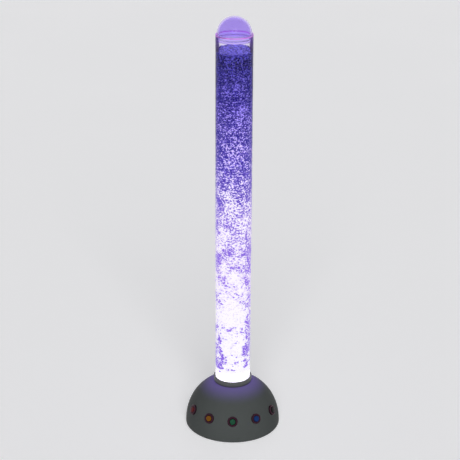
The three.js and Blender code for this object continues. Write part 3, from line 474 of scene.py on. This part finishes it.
def opal_acrylic():
    """Milky acrylic, lit from inside."""
    finish = Finish("opal_acrylic", Roughness=0.35, Emission_Strength=1.2)
    cloud = finish.noise(45.0, detail=2.0)
    finish.drive("Base Color", finish.blend(cloud, (0.86, 0.84, 0.9), (0.94, 0.93, 0.97)))
    finish.drive("Emission Color", finish.blend(cloud, (0.88, 0.84, 1.0), (1.0, 0.99, 1.0)))
    return finish.material


def gloss_plastic(name, shade):
    """Moulded, polished plastic with a faint ripple."""
    finish = Finish(name, Specular_IOR_Level=0.15)
    cloud = finish.noise(140.0, detail=2.0)
    finish.drive("Base Color", finish.blend(cloud, toned(shade, 0.85), toned(shade, 1.12)))
    finish.drive("Roughness", finish.spread(cloud, 0.3, 0.7, 0.16, 0.26))
    finish.relief(finish.noise(300.0, detail=1.0), strength=0.03, distance=0.0002)
    return finish.material


def polished_bezel():
    """Dark polished metal with faint smears."""
    finish = Finish("polished_bezel", Metallic=1.0)
    smear = finish.noise(90.0, detail=3.0)
    shade = tuple(tints().bezel)
    finish.drive("Base Color", finish.blend(smear, toned(shade, 0.8), toned(shade, 1.15)))
    finish.drive("Roughness", finish.spread(smear, 0.3, 0.75, 0.07, 0.17))
    return finish.material


def matt_plastic(name, shade, grain=900.0):
    """Plastic from a textured mould."""
    finish = Finish(name)
    spark = finish.noise(grain, detail=2.0)
    finish.drive("Base Color", finish.blend(spark, toned(shade, 0.8), toned(shade, 1.2)))
    finish.drive("Roughness", finish.spread(spark, 0.3, 0.7, 0.5, 0.7))
    finish.relief(spark, strength=0.25, distance=0.0002)
    return finish.material


def soft_rubber(name="soft_rubber", shade=(0.016, 0.016, 0.017)):
    """Matt rubber with a little dust."""
    finish = Finish(name, Specular_IOR_Level=0.3)
    dust = finish.noise(60.0, detail=5.0)
    finish.drive("Base Color", finish.blend(finish.spread(dust, 0.5, 0.8), shade, toned(shade, 2.2)))
    finish.drive("Roughness", finish.spread(dust, 0.3, 0.7, 0.72, 0.9))
    finish.relief(finish.noise(1500.0, detail=1.0), strength=0.2, distance=0.0001)
    return finish.material


def silicone():
    """Cloudy, half-clear silicone."""
    finish = Finish("silicone", Transmission_Weight=0.75, IOR=1.3)
    haze = finish.noise(120.0, detail=2.0)
    finish.drive("Base Color", finish.blend(haze, (0.72, 0.70, 0.80), (0.84, 0.82, 0.92)))
    finish.drive("Roughness", finish.spread(haze, 0.3, 0.7, 0.3, 0.45))
    return finish.material


def circuit_board(name, mask_shade, track_shade):
    """Solder mask over tracks, with tinned pads."""
    finish = Finish(name)
    tracks = finish.add("TexBrick", offset=0.37, squash=0.6, squash_frequency=3)
    finish.feed(tracks.inputs["Vector"], finish.place)
    tracks.inputs["Scale"].default_value = 140.0
    tracks.inputs["Mortar Size"].default_value = 0.06
    pads = finish.spread(finish.cells(260.0), 0.16, 0.12)
    board = finish.blend(tracks.outputs["Fac"], mask_shade, track_shade)
    finish.drive("Base Color", finish.blend(pads, board, (0.6, 0.6, 0.58)))
    finish.drive("Metallic", pads)
    finish.drive("Roughness", finish.spread(pads, 0.0, 1.0, 0.38, 0.25))
    return finish.material


def seen_rays(tree):
    """One where a surface is seen, also through glass or mirrored, and zero where it only lights others."""
    rays = tree.nodes.new("ShaderNodeLightPath")
    share = rays.outputs["Is Camera Ray"]
    for name in ("Is Glossy Ray", "Is Transmission Ray"):
        either = tree.nodes.new("ShaderNodeMath")
        either.operation = "MAXIMUM"
        tree.links.new(share, either.inputs[0])
        tree.links.new(rays.outputs[name], either.inputs[1])
        share = either.outputs["Value"]
    return share


def pale_floor():
    """A pale surface that keeps the lamp's shadows."""
    finish = Finish("pale_floor", Specular_IOR_Level=0.1)
    cloud = finish.noise(1.5, detail=3.0)
    finish.drive("Base Color", finish.blend(cloud, (0.69, 0.69, 0.70), (0.72, 0.72, 0.73)))
    finish.drive("Roughness", finish.spread(cloud, 0.3, 0.7, 0.7, 0.85))
    finish.plain("Emission Color", (0.98, 0.98, 1.0))
    finish.drive("Emission Strength", finish.product(seen_rays(finish.tree), 0.44))
    return finish.material


FINISHES = {}


def finishes():
    """Every finish by its slot in the record or by its own name, all made at the first call."""
    if not FINISHES:
        shades = tints()
        FINISHES.update(
            base=satin_paint(),
            collar=spun_metal("satin_metal", tuple(shades.metal), 0.34),
            # The last number is the strength of each acrylic's painted glow
            clear_acrylic=clear_acrylic("tube_acrylic", (0.965, 0.95, 0.995), 0.05),
            lid_acrylic=clear_acrylic("lid_acrylic", (0.66, 0.57, 0.93), 0.03),
            edge=lit_edge(),
            water=clear_water(),
            bubbles=lit_bubbles(),
            bubble=bubble_skin(),
            froth=froth_skin(),
            violet_bubble=violet_bubble(),
            opal_acrylic=opal_acrylic(),
            bezel=polished_bezel(),
            steel=spun_metal("zinc_plate", (0.62, 0.63, 0.64), 0.28),
            brass=spun_metal("turned_brass", (0.72, 0.50, 0.18), 0.26),
            black_plastic=matt_plastic("black_plastic", (0.018, 0.018, 0.02)),
            grey_plastic=matt_plastic("grey_plastic", (0.15, 0.16, 0.17)),
            rubber=soft_rubber(),
            silicone=silicone(),
            white_board=circuit_board("white_board", (0.74, 0.74, 0.76), (0.66, 0.66, 0.69)),
            green_board=circuit_board("green_board", (0.018, 0.11, 0.035), (0.03, 0.19, 0.06)),
            wire=soft_rubber("wire_sheath", (0.03, 0.03, 0.034)),
        )
        for name in BUTTONS:
            FINISHES[f"button_{name}"] = gloss_plastic(f"{name}_plastic", tuple(getattr(shades, name)))
    return FINISHES


# Shapes

CREASE = 35.0  # Degrees between faces over which an edge is drawn sharp
NEAR = 0.0002  # How near to a surface a face counts as part of it
SEAL_GAP = 0.00015  # Between a seal and the bore that it closes


def turned(profile, steps=128, closed=False):
    """A mesh of a profile of (radius, height) points, spun about +Z. It ends on the axis or is closed."""
    bm = bmesh.new()
    points = [bm.verts.new((r, 0.0, z)) for r, z in profile]
    pairs = list(zip(points, points[1:]))
    if closed:
        pairs.append((points[-1], points[0]))
    lines = [bm.edges.new(pair) for pair in pairs]
    bmesh.ops.spin(
        bm, geom=points + lines, axis=(0, 0, 1), cent=(0, 0, 0), angle=math.tau, steps=steps, use_merge=True
    )
    bmesh.ops.remove_doubles(bm, verts=bm.verts, dist=1e-6)
    bmesh.ops.recalc_face_normals(bm, faces=bm.faces)
    return bm


def soften(bm, width, segments=3, angle=30.0):
    """Rounds every edge that is sharper than an angle."""
    bm.normal_update()
    sharp = [e for e in bm.edges if e.is_manifold and e.calc_face_angle() > math.radians(angle)]
    bmesh.ops.bevel(
        bm,
        geom=sharp,
        offset=width,
        offset_type="OFFSET",
        affect="EDGES",
        segments=segments,
        profile=0.5,
        clamp_overlap=True,
        material=-1,
    )
    return bm


def moved(bm, place):
    bmesh.ops.transform(bm, matrix=place, verts=bm.verts)
    return bm


def arc(middle, radius, start, end, steps):
    """Points of an arc in the profile's plane, from one angle to another in degrees."""
    turns = [math.radians(start + (end - start) * i / steps) for i in range(steps + 1)]
    return [(middle[0] + radius * math.cos(a), middle[1] + radius * math.sin(a)) for a in turns]


def finished(name, bm, slot, body, replaces=(), place=None, crease=CREASE):
    """Turns a mesh into a piece with its finish, riding on its body."""
    if place is not None:
        moved(bm, place)
    mesh = bpy.data.meshes.new(name)
    bm.to_mesh(mesh)
    bm.free()
    mesh.shade_smooth()
    mesh.set_sharp_from_angle(angle=math.radians(crease))
    piece = bpy.data.objects.new(name, mesh)
    bpy.context.scene.collection.objects.link(piece)
    mesh.materials.append(finishes()[slot])
    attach(piece, body)
    if replaces:
        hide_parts(*replaces)
    return piece


def carved(piece, cutters):
    """Cuts meshes out of a piece and keeps the result as its own mesh."""
    bm = bmesh.new()
    for cutter in cutters:
        part = bpy.data.meshes.new("cutter")
        cutter.to_mesh(part)
        cutter.free()
        bm.from_mesh(part)
        bpy.data.meshes.remove(part)
    tool_mesh = bpy.data.meshes.new("cutters")
    bm.to_mesh(tool_mesh)
    bm.free()
    tool = bpy.data.objects.new("cutters", tool_mesh)
    bpy.context.scene.collection.objects.link(tool)
    modifier = piece.modifiers.new("holes", "BOOLEAN")
    modifier.operation = "DIFFERENCE"
    modifier.solver = "EXACT"
    modifier.object = tool
    bpy.context.view_layer.update()
    shape = bpy.data.meshes.new_from_object(piece.evaluated_get(bpy.context.evaluated_depsgraph_get()))
    piece.modifiers.clear()
    piece.data = shape
    bpy.data.objects.remove(tool)
    bpy.data.meshes.remove(tool_mesh)
    shape.shade_smooth()
    shape.set_sharp_from_angle(angle=math.radians(CREASE))
    return piece


def swarm(bubbles):
    """A mesh of many bubbles, each given as its place, its radius and its flatness."""
    unit = bpy.data.meshes.new("bubble")
    bm = bmesh.new()
    bmesh.ops.create_uvsphere(bm, u_segments=8, v_segments=6, radius=1.0)
    bm.to_mesh(unit)
    bm.free()
    whole = bmesh.new()
    for place, radius, flatness in bubbles:
        shape = Matrix.Translation(place) @ Matrix.Diagonal((radius, radius, radius * flatness, 1.0))
        unit.transform(shape)
        whole.from_mesh(unit)
        unit.transform(shape.inverted())
    bpy.data.meshes.remove(unit)
    return whole


def edged(piece, bottom, top, radius):
    """Gives the faces between two heights and outside a radius the finish of a cut edge with a painted glow."""
    piece.data.materials.append(finishes()["edge"])
    for face in piece.data.polygons:
        middle = face.center
        if bottom < middle.z < top and math.hypot(middle.x, middle.y) > radius:
            face.material_index = 1


def upright(radius, bottom, top, steps=96):
    return turned([(0.0, bottom), (radius, bottom), (radius, top), (0.0, top)], steps)


def stepped(foot, bore, ledge, seat, top):
    """A round cutter, as wide as a bore up to a ledge and as wide as a seat over it."""
    return turned([(0.0, foot), (bore, foot), (bore, ledge), (seat, ledge), (seat, top), (0.0, top)], 72)


def seal_groove(face, middle, depth, width):
    """Points of a square groove in a round face, from its lower edge up."""
    lower, upper = middle - width / 2, middle + width / 2
    return [(face, lower), (face - depth, lower), (face - depth, upper), (face, upper)]


def seal_ring(middle, section, steps):
    """A ring of round section that closes the tube's bore."""
    centre, points = (tube_bore() - SEAL_GAP - section, middle), 24
    circle = arc(centre, section, 0, 360 - 360 / points, points - 1)
    return turned(circle, steps, closed=True)


def button_places():
    """Each button's own frame, whose +Z points out of the dome."""
    places = {}
    for joint in frame["joints"]:
        if joint["name"].startswith("press_"):
            outward = -Vector(joint["axis"])
            turn = Vector((0, 0, 1)).rotation_difference(outward).to_matrix().to_4x4()
            places[joint["name"][len("press_") :]] = Matrix.Translation(joint["pos_m"]) @ turn
    return places


def dome_height(radius, inset=0.0):
    """Height of the dome's outside at a radius, or of a surface that lies inset from it."""
    size = dome()
    share = max(0.0, 1.0 - (radius / (size.radius - inset)) ** 2)
    return size.rim + (size.rise - inset) * share ** (1.0 / size.power)


def dome_reach(height, inset=0.0):
    """Radius of that surface at a height."""
    size = dome()
    share = ((height - size.rim) / (size.rise - inset)) ** size.power
    return (size.radius - inset) * math.sqrt(1.0 - share)


def dome_curve(from_height, to_radius, inset, steps):
    """Points of the dome's curve from a height up to a radius."""
    full = dome().radius - inset
    start = math.acos(dome_reach(from_height, inset) / full)
    end = math.acos(to_radius / full)
    radii = [full * math.cos(start + (end - start) * i / steps) for i in range(steps + 1)]
    return [(radius, dome_height(radius, inset)) for radius in radii]


# Pieces

SPIGOT_RADIUS = 0.042  # Of the collar's spigot, which fits the shell's opening
JACK_BARREL_RADIUS = 0.0054
JACK_FLANGE_RADIUS = 0.0076
JACK_FLANGE_THICKNESS = 0.0018
NOZZLE_RADIUS = 0.023
NOZZLE_THICKNESS = 0.003
SURFACE_DROP = 0.006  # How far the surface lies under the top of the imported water
SWELL = 0.0008  # How far rising bubbles lift the surface in the middle
SWELL_SHARE = 0.5  # Share of the water's radius over which that lift fades
LAP = 0.00005  # How far the water laps into the glass, so that no film of air shows


def tube_bore():
    return column().radius - column().wall


def water_radius():
    return tube_bore() + LAP


def water_edge():
    """Height of the water's surface near the glass."""
    return high("water_column").z - SURFACE_DROP


def water_surface(out):
    """Height of the water's surface at a distance from the axis."""
    return water_edge() + SWELL * math.exp(-((out / water_radius() / SWELL_SHARE) ** 2))


def jack_place():
    """The jack's own frame, whose +Z points out at the back."""
    return Matrix.Translation((0.0, 0.0, middle_height("power_jack"))) @ Matrix.Rotation(-math.pi / 2, 4, "X")


class LAMP_OT_base(bpy.types.Operator):
    """Makes the domed base shell, with its seats for the buttons and the jack"""

    bl_idname = "lamp.base"
    bl_label = "Base shell"

    def execute(self, context):
        blank = turned(self.section(), 180, closed=True)
        shell = finished("base_dome", blank, "base", "stand", ["base_shell"])
        carved(shell, [*self.button_seats(), self.jack_seat()])
        return {"FINISHED"}

    def section(self):
        """The shell's profile: rounded edge, dome, opening, and back down the inside to the rim."""
        size = dome()
        land, opening, inner_land = high("collar").x + FIT, SPIGOT_RADIUS + FIT, 0.0448
        tuck, tuck_rise = 0.0037, 0.004
        widest, curve_foot, skirt_top = size.rim + tuck_rise, size.rim + 0.014, size.rim + 0.008
        reach = dome_reach(widest)
        turns = [math.radians(-90 + 10 * i) for i in range(9)]
        edge = [(reach - tuck + tuck * math.cos(a), widest + tuck_rise * math.sin(a)) for a in turns]
        outside = edge + dome_curve(widest, land, 0.0, 56)
        inside = dome_curve(curve_foot, inner_land, size.wall, 40)
        inner_rim = size.radius - tuck - size.wall
        skirt = [(inner_rim, skirt_top), (inner_rim, size.rim)]
        return outside + [(opening, size.top), (opening, inside[-1][1])] + inside[::-1] + skirt

    def button_seats(self):
        size = push()
        inner, outer = -0.012, 0.006
        bore, seat, ledge = size.barrel + FIT, size.bezel + FIT, -size.sunk - FIT
        return [moved(stepped(inner, bore, ledge, seat, outer), place) for place in button_places().values()]

    def jack_seat(self):
        face = high("power_jack").y
        inner, ledge, outer = face - 0.012, face - JACK_FLANGE_THICKNESS - FIT, face + 0.01
        bore, seat = JACK_BARREL_RADIUS + FIT, JACK_FLANGE_RADIUS + FIT
        return moved(stepped(inner, bore, ledge, seat, outer), jack_place())


class LAMP_OT_collar(bpy.types.Operator):
    """Makes the metal collar round the tube's foot"""

    bl_idname = "lamp.collar"
    bl_label = "Collar"

    def execute(self, context):
        bottom, top = low("collar").z, high("collar").z
        bore, spigot, rim = column().radius + FIT, SPIGOT_RADIUS, high("collar").x
        seat = dome().top + FIT
        profile = [(bore, bottom), (spigot, bottom), (spigot, seat), (rim, seat), (rim, top), (bore, top)]
        ring = soften(turned(profile, 160, closed=True), width=0.0006, segments=4)
        finished("collar_ring", ring, "collar", "stand", ["collar"])
        return {"FINISHED"}


class LAMP_OT_tube(bpy.types.Operator):
    """Makes the clear tube, whose upper cut edge has a painted glow"""

    bl_idname = "lamp.tube"
    bl_label = "Tube"

    def execute(self, context):
        size = column()
        bore = tube_bore()
        profile = [(bore, size.foot), (size.radius, size.foot), (size.radius, size.top), (bore, size.top)]
        pipe = soften(turned(profile, 192, closed=True), width=0.0003, segments=2)
        piece = finished("clear_tube", pipe, "clear_acrylic", "stand", ["tube"])
        edged(piece, size.top - NEAR, size.top + NEAR, bore + NEAR)
        return {"FINISHED"}


class LAMP_OT_lid(bpy.types.Operator):
    """Makes the clear domed lid, whose lip has a painted glow, and its seal"""

    bl_idname = "lamp.lid"
    bl_label = "Lid"

    def execute(self, context):
        bore, rim = tube_bore(), column().radius
        wall, lip = 0.003, 0.003
        skirt = bore - FIT
        inside = skirt - wall
        bottom = low("lid").z
        middle = high("lid").z - bore
        lip_foot, lit_top = middle - lip, middle - 0.0014
        groove = middle_height("lid_seal")
        profile = [*arc((0.0, middle), inside, 90, 0, 24), (inside, bottom), (skirt, bottom)]
        profile += seal_groove(skirt, groove, depth=0.00185, width=0.0023)
        profile += [(skirt, lip_foot), (rim, lip_foot), (rim, lit_top), (rim, middle)]
        profile += arc((0.0, middle), bore, 0, 90, 28)
        # Both arcs end exactly on the axis, so that the dome closes there
        profile[0] = (0.0, profile[0][1])
        profile[-1] = (0.0, profile[-1][1])
        cap = soften(turned(profile, 192), width=0.0004, angle=40.0)
        piece = finished("clear_lid", cap, "lid_acrylic", "lid", ["lid"])
        edged(piece, lip_foot - NEAR, lit_top - NEAR, bore + 2 * NEAR)
        ring = seal_ring(groove, section=0.00085, steps=160)
        finished("lid_ring", ring, "silicone", "lid", ["lid_seal"])
        return {"FINISHED"}


class LAMP_OT_water(bpy.types.Operator):
    """Fills the tube with clear water round a dense, lit core of bubbles"""

    bl_idname = "lamp.water"
    bl_label = "Water and bubbles"

    def execute(self, context):
        chance = random.Random(7)
        self.fill()
        self.core()
        self.rising(chance)
        self.froth(chance)
        self.clinging()
        return {"FINISHED"}

    def fill(self):
        """Clear water, which climbs a little at the glass and swells in the middle."""
        bottom, edge, radius = low("water_column").z, water_edge(), water_radius()
        climb, climb_share, shares = 0.0012, 0.96, (0.85, 0.7, 0.5, 0.3, 0.15, 0.0)
        profile = [(0.0, bottom), (radius, bottom), (radius, edge + climb), (radius * climb_share, edge)]
        profile += [(radius * share, water_surface(radius * share)) for share in shares]
        finished("water_fill", turned(profile, 160), "water", "stand", ["water_column"], crease=60.0)

    def core(self):
        """The dense middle, which narrows at its foot and has a rounded top edge."""
        bottom, edge, radius = low("water_column").z, water_edge(), column().core
        foot, shoulder, taper = bottom + 0.0008, bottom + 0.005, 0.003
        rounding = ((1.0, 0.0016), (0.97, 0.0011), (0.9, 0.001), (0.0, 0.001))
        profile = [(0.0, foot), (radius - taper, foot), (radius, shoulder)]
        profile += [(radius * share, edge - drop) for share, drop in rounding]
        finished("bubble_core", turned(profile, 128), "bubbles", "stand", crease=60.0)

    def rising(self, chance):
        """Single bubbles between the core and the glass, in three pieces from the foot up."""
        size = column()
        foot = low("water_column").z + 0.006
        third = (water_edge() - foot) / 3
        sizes, overlap_share = (0.55, 0.7, 0.85, 1.0, 1.15, 1.35), 0.6
        for step, name in enumerate(("lower", "middle", "upper")):
            bubbles = []
            for _ in range(size.bubbles):
                radius = size.bubble * chance.choice(sizes)
                out = chance.uniform(size.core - radius * overlap_share, tube_bore() - radius - FIT)
                turn = chance.uniform(0.0, math.tau)
                up = foot + third * (step + chance.random())
                flatness = chance.uniform(0.72, 0.95)
                bubbles.append(((out * math.cos(turn), out * math.sin(turn), up), radius, flatness))
            finished(f"bubbles_{name}", swarm(bubbles), "bubble", "stand")

    def froth(self, chance):
        """Larger bubbles that break the surface."""
        clear, flatness = 0.0004, 0.8
        bubbles = []
        for _ in range(column().froth):
            radius = column().bubble * chance.uniform(0.7, 1.6)
            out = (tube_bore() - radius - clear) * math.sqrt(chance.random())
            turn = chance.uniform(0.0, math.tau)
            up = water_surface(out) - radius * chance.uniform(0.3, 0.9)
            bubbles.append(((out * math.cos(turn), out * math.sin(turn), up), radius, flatness))
        finished("surface_froth", swarm(bubbles), "froth", "stand")

    def clinging(self):
        """One bubble that clings to the glass just over the plug."""
        radius, flatness = 0.0023, 0.9
        place = (-0.0281, -0.0203, low("water_column").z + 0.0024)
        finished("clinging_bubble", swarm([(place, radius, flatness)]), "violet_bubble", "stand")


class LAMP_OT_plug(bpy.types.Operator):
    """Makes the glowing plug that closes the tube's foot, with its seal and its nozzle plate"""

    bl_idname = "lamp.plug"
    bl_label = "Light plug"

    def execute(self, context):
        self.plug()
        self.nozzles()
        ring = seal_ring(middle_height("plug_seal"), section=0.00115, steps=128)
        finished("plug_ring", ring, "rubber", "stand", ["plug_seal"])
        return {"FINISHED"}

    def plug(self):
        """A skirt under a deck, which holds the nozzle plate over a shallow air chamber."""
        wall = 0.004
        outer = tube_bore() - FIT
        inside = outer - wall
        foot, top = low("light_plug").z, high("light_plug").z
        deck = top - 0.010
        well, seat = NOZZLE_RADIUS + FIT, top - NOZZLE_THICKNESS - FIT
        chamber, chamber_foot, inlet = 0.020, seat - 0.002, 0.0043
        profile = [(inside, foot), (outer, foot)]
        profile += seal_groove(outer, middle_height("plug_seal"), depth=0.0023, width=0.0029)
        profile += [(outer, top), (well, top), (well, seat), (chamber, seat), (chamber, chamber_foot)]
        profile += [(inlet, chamber_foot), (inlet, deck), (inside, deck)]
        body = soften(turned(profile, 128, closed=True), width=0.0003, segments=2)
        finished("plug_body", body, "opal_acrylic", "stand", ["light_plug"])

    def nozzles(self):
        """The plate that the air comes up through, with one hole in its middle and two rings of holes."""
        top = high("light_plug").z
        pitch, hole_radius = 0.0075, 0.0008
        disc = soften(upright(NOZZLE_RADIUS, top - NOZZLE_THICKNESS, top), width=0.0003, segments=2)
        plate = finished("nozzle_disc", disc, "clear_acrylic", "stand", ["nozzle_plate"])
        hole_foot, hole_top = top - 0.005, top + 0.002
        holes = []
        for ring, count in enumerate((1, 6, 8)):
            out = pitch * ring
            for i in range(count):
                turn = math.tau * i / count
                place = Matrix.Translation((out * math.sin(turn), -out * math.cos(turn), 0.0))
                holes.append(moved(upright(hole_radius, hole_foot, hole_top, steps=16), place))
        carved(plate, holes)


class LAMP_OT_buttons(bpy.types.Operator):
    """Makes the five bezels and their plungers"""

    bl_idname = "lamp.buttons"
    bl_label = "Push-buttons"

    def execute(self, context):
        for name, place in button_places().items():
            body = f"button_{name}"
            finished(f"bezel_{name}", self.bezel(), "bezel", "stand", [f"button_body_{name}"], place)
            finished(f"plunger_{name}", self.plunger(), body, body, [f"button_cap_{name}"], place)
        return {"FINISHED"}

    def bezel(self):
        """A bezel with its barrel, and two contact tags at the barrel's end."""
        size = push()
        lip, slope = 0.0022, 0.0017
        well = -size.cap_foot - 0.0033
        tag_size, tag_out, tag_down = (0.0009, 0.003, 0.006), 0.004, 0.002
        profile = [(0.0, -size.depth), (size.barrel, -size.depth)]
        profile += [(size.barrel, -size.sunk), (size.bezel, -size.sunk)]
        profile += arc((size.bezel - lip, size.proud - lip), lip, 0, 90, 10)
        profile += arc((size.bore + slope, size.proud - slope), slope, 90, 180, 8)
        profile += [(size.bore, well), (0.0, well)]
        bezel = turned(profile, 72)
        for side in (-1, 1):
            tag = bmesh.ops.create_cube(bezel, size=1.0)["verts"]
            bmesh.ops.scale(bezel, vec=tag_size, verts=tag)
            bmesh.ops.translate(bezel, vec=(side * tag_out, 0.0, -size.depth - tag_down), verts=tag)
        return bezel

    def plunger(self):
        """A plunger with a rounded shoulder and a slightly crowned face."""
        size = push()
        shoulder, crown, shares = 0.0012, 0.0004, (0.7, 0.5, 0.3, 0.15, 0.0)
        profile = [(0.0, -size.cap_foot), (size.cap, -size.cap_foot)]
        profile += arc((size.cap - shoulder, size.cap_top - crown - shoulder), shoulder, 0, 80, 6)
        profile += [(size.cap * share, size.cap_top - crown * share**2) for share in shares]
        return turned(profile, 72)


class LAMP_OT_underside(bpy.types.Operator):
    """Makes the rubber feet and the power jack"""

    bl_idname = "lamp.underside"
    bl_label = "Feet and jack"

    def execute(self, context):
        for side in ("front", "right", "back", "left"):
            node = f"foot_{side}"
            lower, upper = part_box(node)
            middle = (lower + upper) / 2
            place = Matrix.Translation((middle.x, middle.y, 0.0))
            finished(f"rubber_{node}", self.foot(upper.z), "rubber", "stand", [node], place)
        finished("jack_socket", self.jack(), "black_plastic", "stand", ["power_jack"], jack_place())
        return {"FINISHED"}

    def foot(self, tip):
        """A round pad whose barbed stem holds it in the bottom plate."""
        pad, stem, barb, point = 0.009, 0.0026, 0.0036, 0.0013
        plate_foot = low("bottom_plate").z - FIT
        plate_top = plate_foot + 0.0036
        profile = [(0.0, 0.0), (pad, 0.0), (pad, plate_foot), (stem, plate_foot), (stem, plate_top)]
        profile += [(barb, plate_top), (point, tip), (0.0, tip)]
        return soften(turned(profile, 48), width=0.0005)

    def jack(self):
        """The power inlet: a barrel and flange round a bore with its pin."""
        lower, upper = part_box("power_jack")
        inner, face = lower.y, upper.y
        barrel, flange, ledge = JACK_BARREL_RADIUS, JACK_FLANGE_RADIUS, face - JACK_FLANGE_THICKNESS
        bore, bore_end = 0.0032, face - 0.0095
        pin, pin_edge, pin_tip, pin_end = 0.001, face - 0.0012, 0.0006, face - 0.001
        profile = [(0.0, inner), (barrel, inner), (barrel, ledge), (flange, ledge)]
        profile += [(flange, face), (bore, face), (bore, bore_end), (pin, bore_end)]
        profile += [(pin, pin_edge), (pin_tip, pin_end), (0.0, pin_end)]
        return soften(turned(profile, 48), width=0.0003, segments=2)


class LAMP_OT_inner(bpy.types.Operator):
    """Gives each piece that is kept from the frame its own finish"""

    bl_idname = "lamp.inner"
    bl_label = "Inner pieces"

    def execute(self, context):
        crease = math.radians(32.0)
        for entry in frame["record"]["subparts"]:
            node = frame["nodes"][entry["node"]]
            node.data.materials.clear()
            node.data.materials.append(finishes()[entry["material_slot"]])
            node.data.shade_smooth()
            node.data.set_sharp_from_angle(angle=crease)
        return {"FINISHED"}


class LAMP_OT_stage(bpy.types.Operator):
    """Sets the floor, the soft lamps, the world and the camera"""

    bl_idname = "lamp.stage"
    bl_label = "Stage"

    def execute(self, context):
        scene = context.scene
        ground = bmesh.new()
        bmesh.ops.create_grid(ground, x_segments=8, y_segments=8, size=14.0)
        mesh = bpy.data.meshes.new("floor")
        ground.to_mesh(mesh)
        ground.free()
        floor = bpy.data.objects.new("floor", mesh)
        scene.collection.objects.link(floor)
        mesh.materials.append(pale_floor())
        self.lamp("key", place=(0.15, -3.0, 1.9), spread=35.0, strength=2.2)
        self.lamp("fill", place=(1.6, -2.3, 1.5), spread=35.0, strength=0.04)
        self.lamp("back", place=(0.4, 2.2, 2.4), spread=30.0, strength=0.14)
        self.world(scene)
        self.camera(scene)
        return {"FINISHED"}

    def lamp(self, name, place, spread, strength):
        """Soft, even light from one side, which polished faces don't mirror."""
        aim = Vector((0.0, 0.0, 0.1))
        light = bpy.data.lights.new(name, "SUN")
        light.angle = math.radians(spread)
        light.energy = strength
        holder = bpy.data.objects.new(name, light)
        holder.location = place
        holder.visible_glossy = False
        holder.rotation_euler = (aim - Vector(place)).to_track_quat("-Z", "Y").to_euler()
        bpy.context.scene.collection.objects.link(holder)

    def world(self, scene):
        """Soft light from all round, and a pale background where the world itself is seen."""
        world = bpy.data.worlds.new("studio")
        world.use_nodes = True
        tree = world.node_tree
        tree.nodes.clear()
        soft = tree.nodes.new("ShaderNodeBackground")
        soft.inputs["Color"].default_value = (0.98, 0.98, 1.0, 1.0)
        soft.inputs["Strength"].default_value = 0.03
        shown = tree.nodes.new("ShaderNodeBackground")
        shown.inputs["Color"].default_value = (0.86, 0.86, 0.88, 1.0)
        mix = tree.nodes.new("ShaderNodeMixShader")
        tree.links.new(seen_rays(tree), mix.inputs["Fac"])
        tree.links.new(soft.outputs["Background"], mix.inputs[1])
        tree.links.new(shown.outputs["Background"], mix.inputs[2])
        output = tree.nodes.new("ShaderNodeOutputWorld")
        tree.links.new(mix.outputs["Shader"], output.inputs["Surface"])
        scene.world = world

    def camera(self, scene):
        """The photograph's point of view, from a little over the lamp's own height."""
        place, looks_down, rolls = (-0.0076, -2.7065, 1.504), 20.81, 0.24
        data = bpy.data.cameras.new("view")
        data.sensor_width = 36.0
        data.lens = 102.86
        eye = bpy.data.objects.new("view", data)
        pitch = Matrix.Rotation(math.radians(90.0 - looks_down), 4, "X")
        roll = Matrix.Rotation(math.radians(rolls), 4, "Z")
        eye.matrix_world = Matrix.Translation(place) @ pitch @ roll
        scene.collection.objects.link(eye)
        scene.camera = eye
        scene.view_settings.view_transform = "Standard"


class LAMP_PT_panel(bpy.types.Panel):
    """Sidebar panel with the lamp's sizes, colours and build steps"""

    bl_label = "Bubble Tube"
    bl_idname = "LAMP_PT_panel"
    bl_space_type = "VIEW_3D"
    bl_region_type = "UI"
    bl_category = "Bubble Tube"

    def draw(self, context):
        for group in (dome(), column(), push(), tints()):
            box = self.layout.box()
            for name in group.__annotations__:
                box.prop(group, name)
        for operator in OPERATORS:
            self.layout.operator(operator.bl_idname)


OPERATORS = (
    LAMP_OT_stage,
    LAMP_OT_inner,
    LAMP_OT_base,
    LAMP_OT_collar,
    LAMP_OT_tube,
    LAMP_OT_lid,
    LAMP_OT_water,
    LAMP_OT_plug,
    LAMP_OT_buttons,
    LAMP_OT_underside,
)
GROUPS = {
    "lamp_dome": DomeSizes,
    "lamp_column": TubeSizes,
    "lamp_push": ButtonSizes,
    "lamp_tints": LampColours,
}


def register():
    for kind in (*GROUPS.values(), *OPERATORS, LAMP_PT_panel):
        bpy.utils.register_class(kind)
    for name, kind in GROUPS.items():
        setattr(bpy.types.Scene, name, PointerProperty(type=kind))


def unregister():
    for name in GROUPS:
        delattr(bpy.types.Scene, name)
    for kind in reversed((*GROUPS.values(), *OPERATORS, LAMP_PT_panel)):
        bpy.utils.unregister_class(kind)


def main():
    register()
    for operator in OPERATORS:
        family, name = operator.bl_idname.split(".")
        getattr(getattr(bpy.ops, family), name)()
    bpy.context.view_layer.update()


if __name__ == "__main__":
    main()
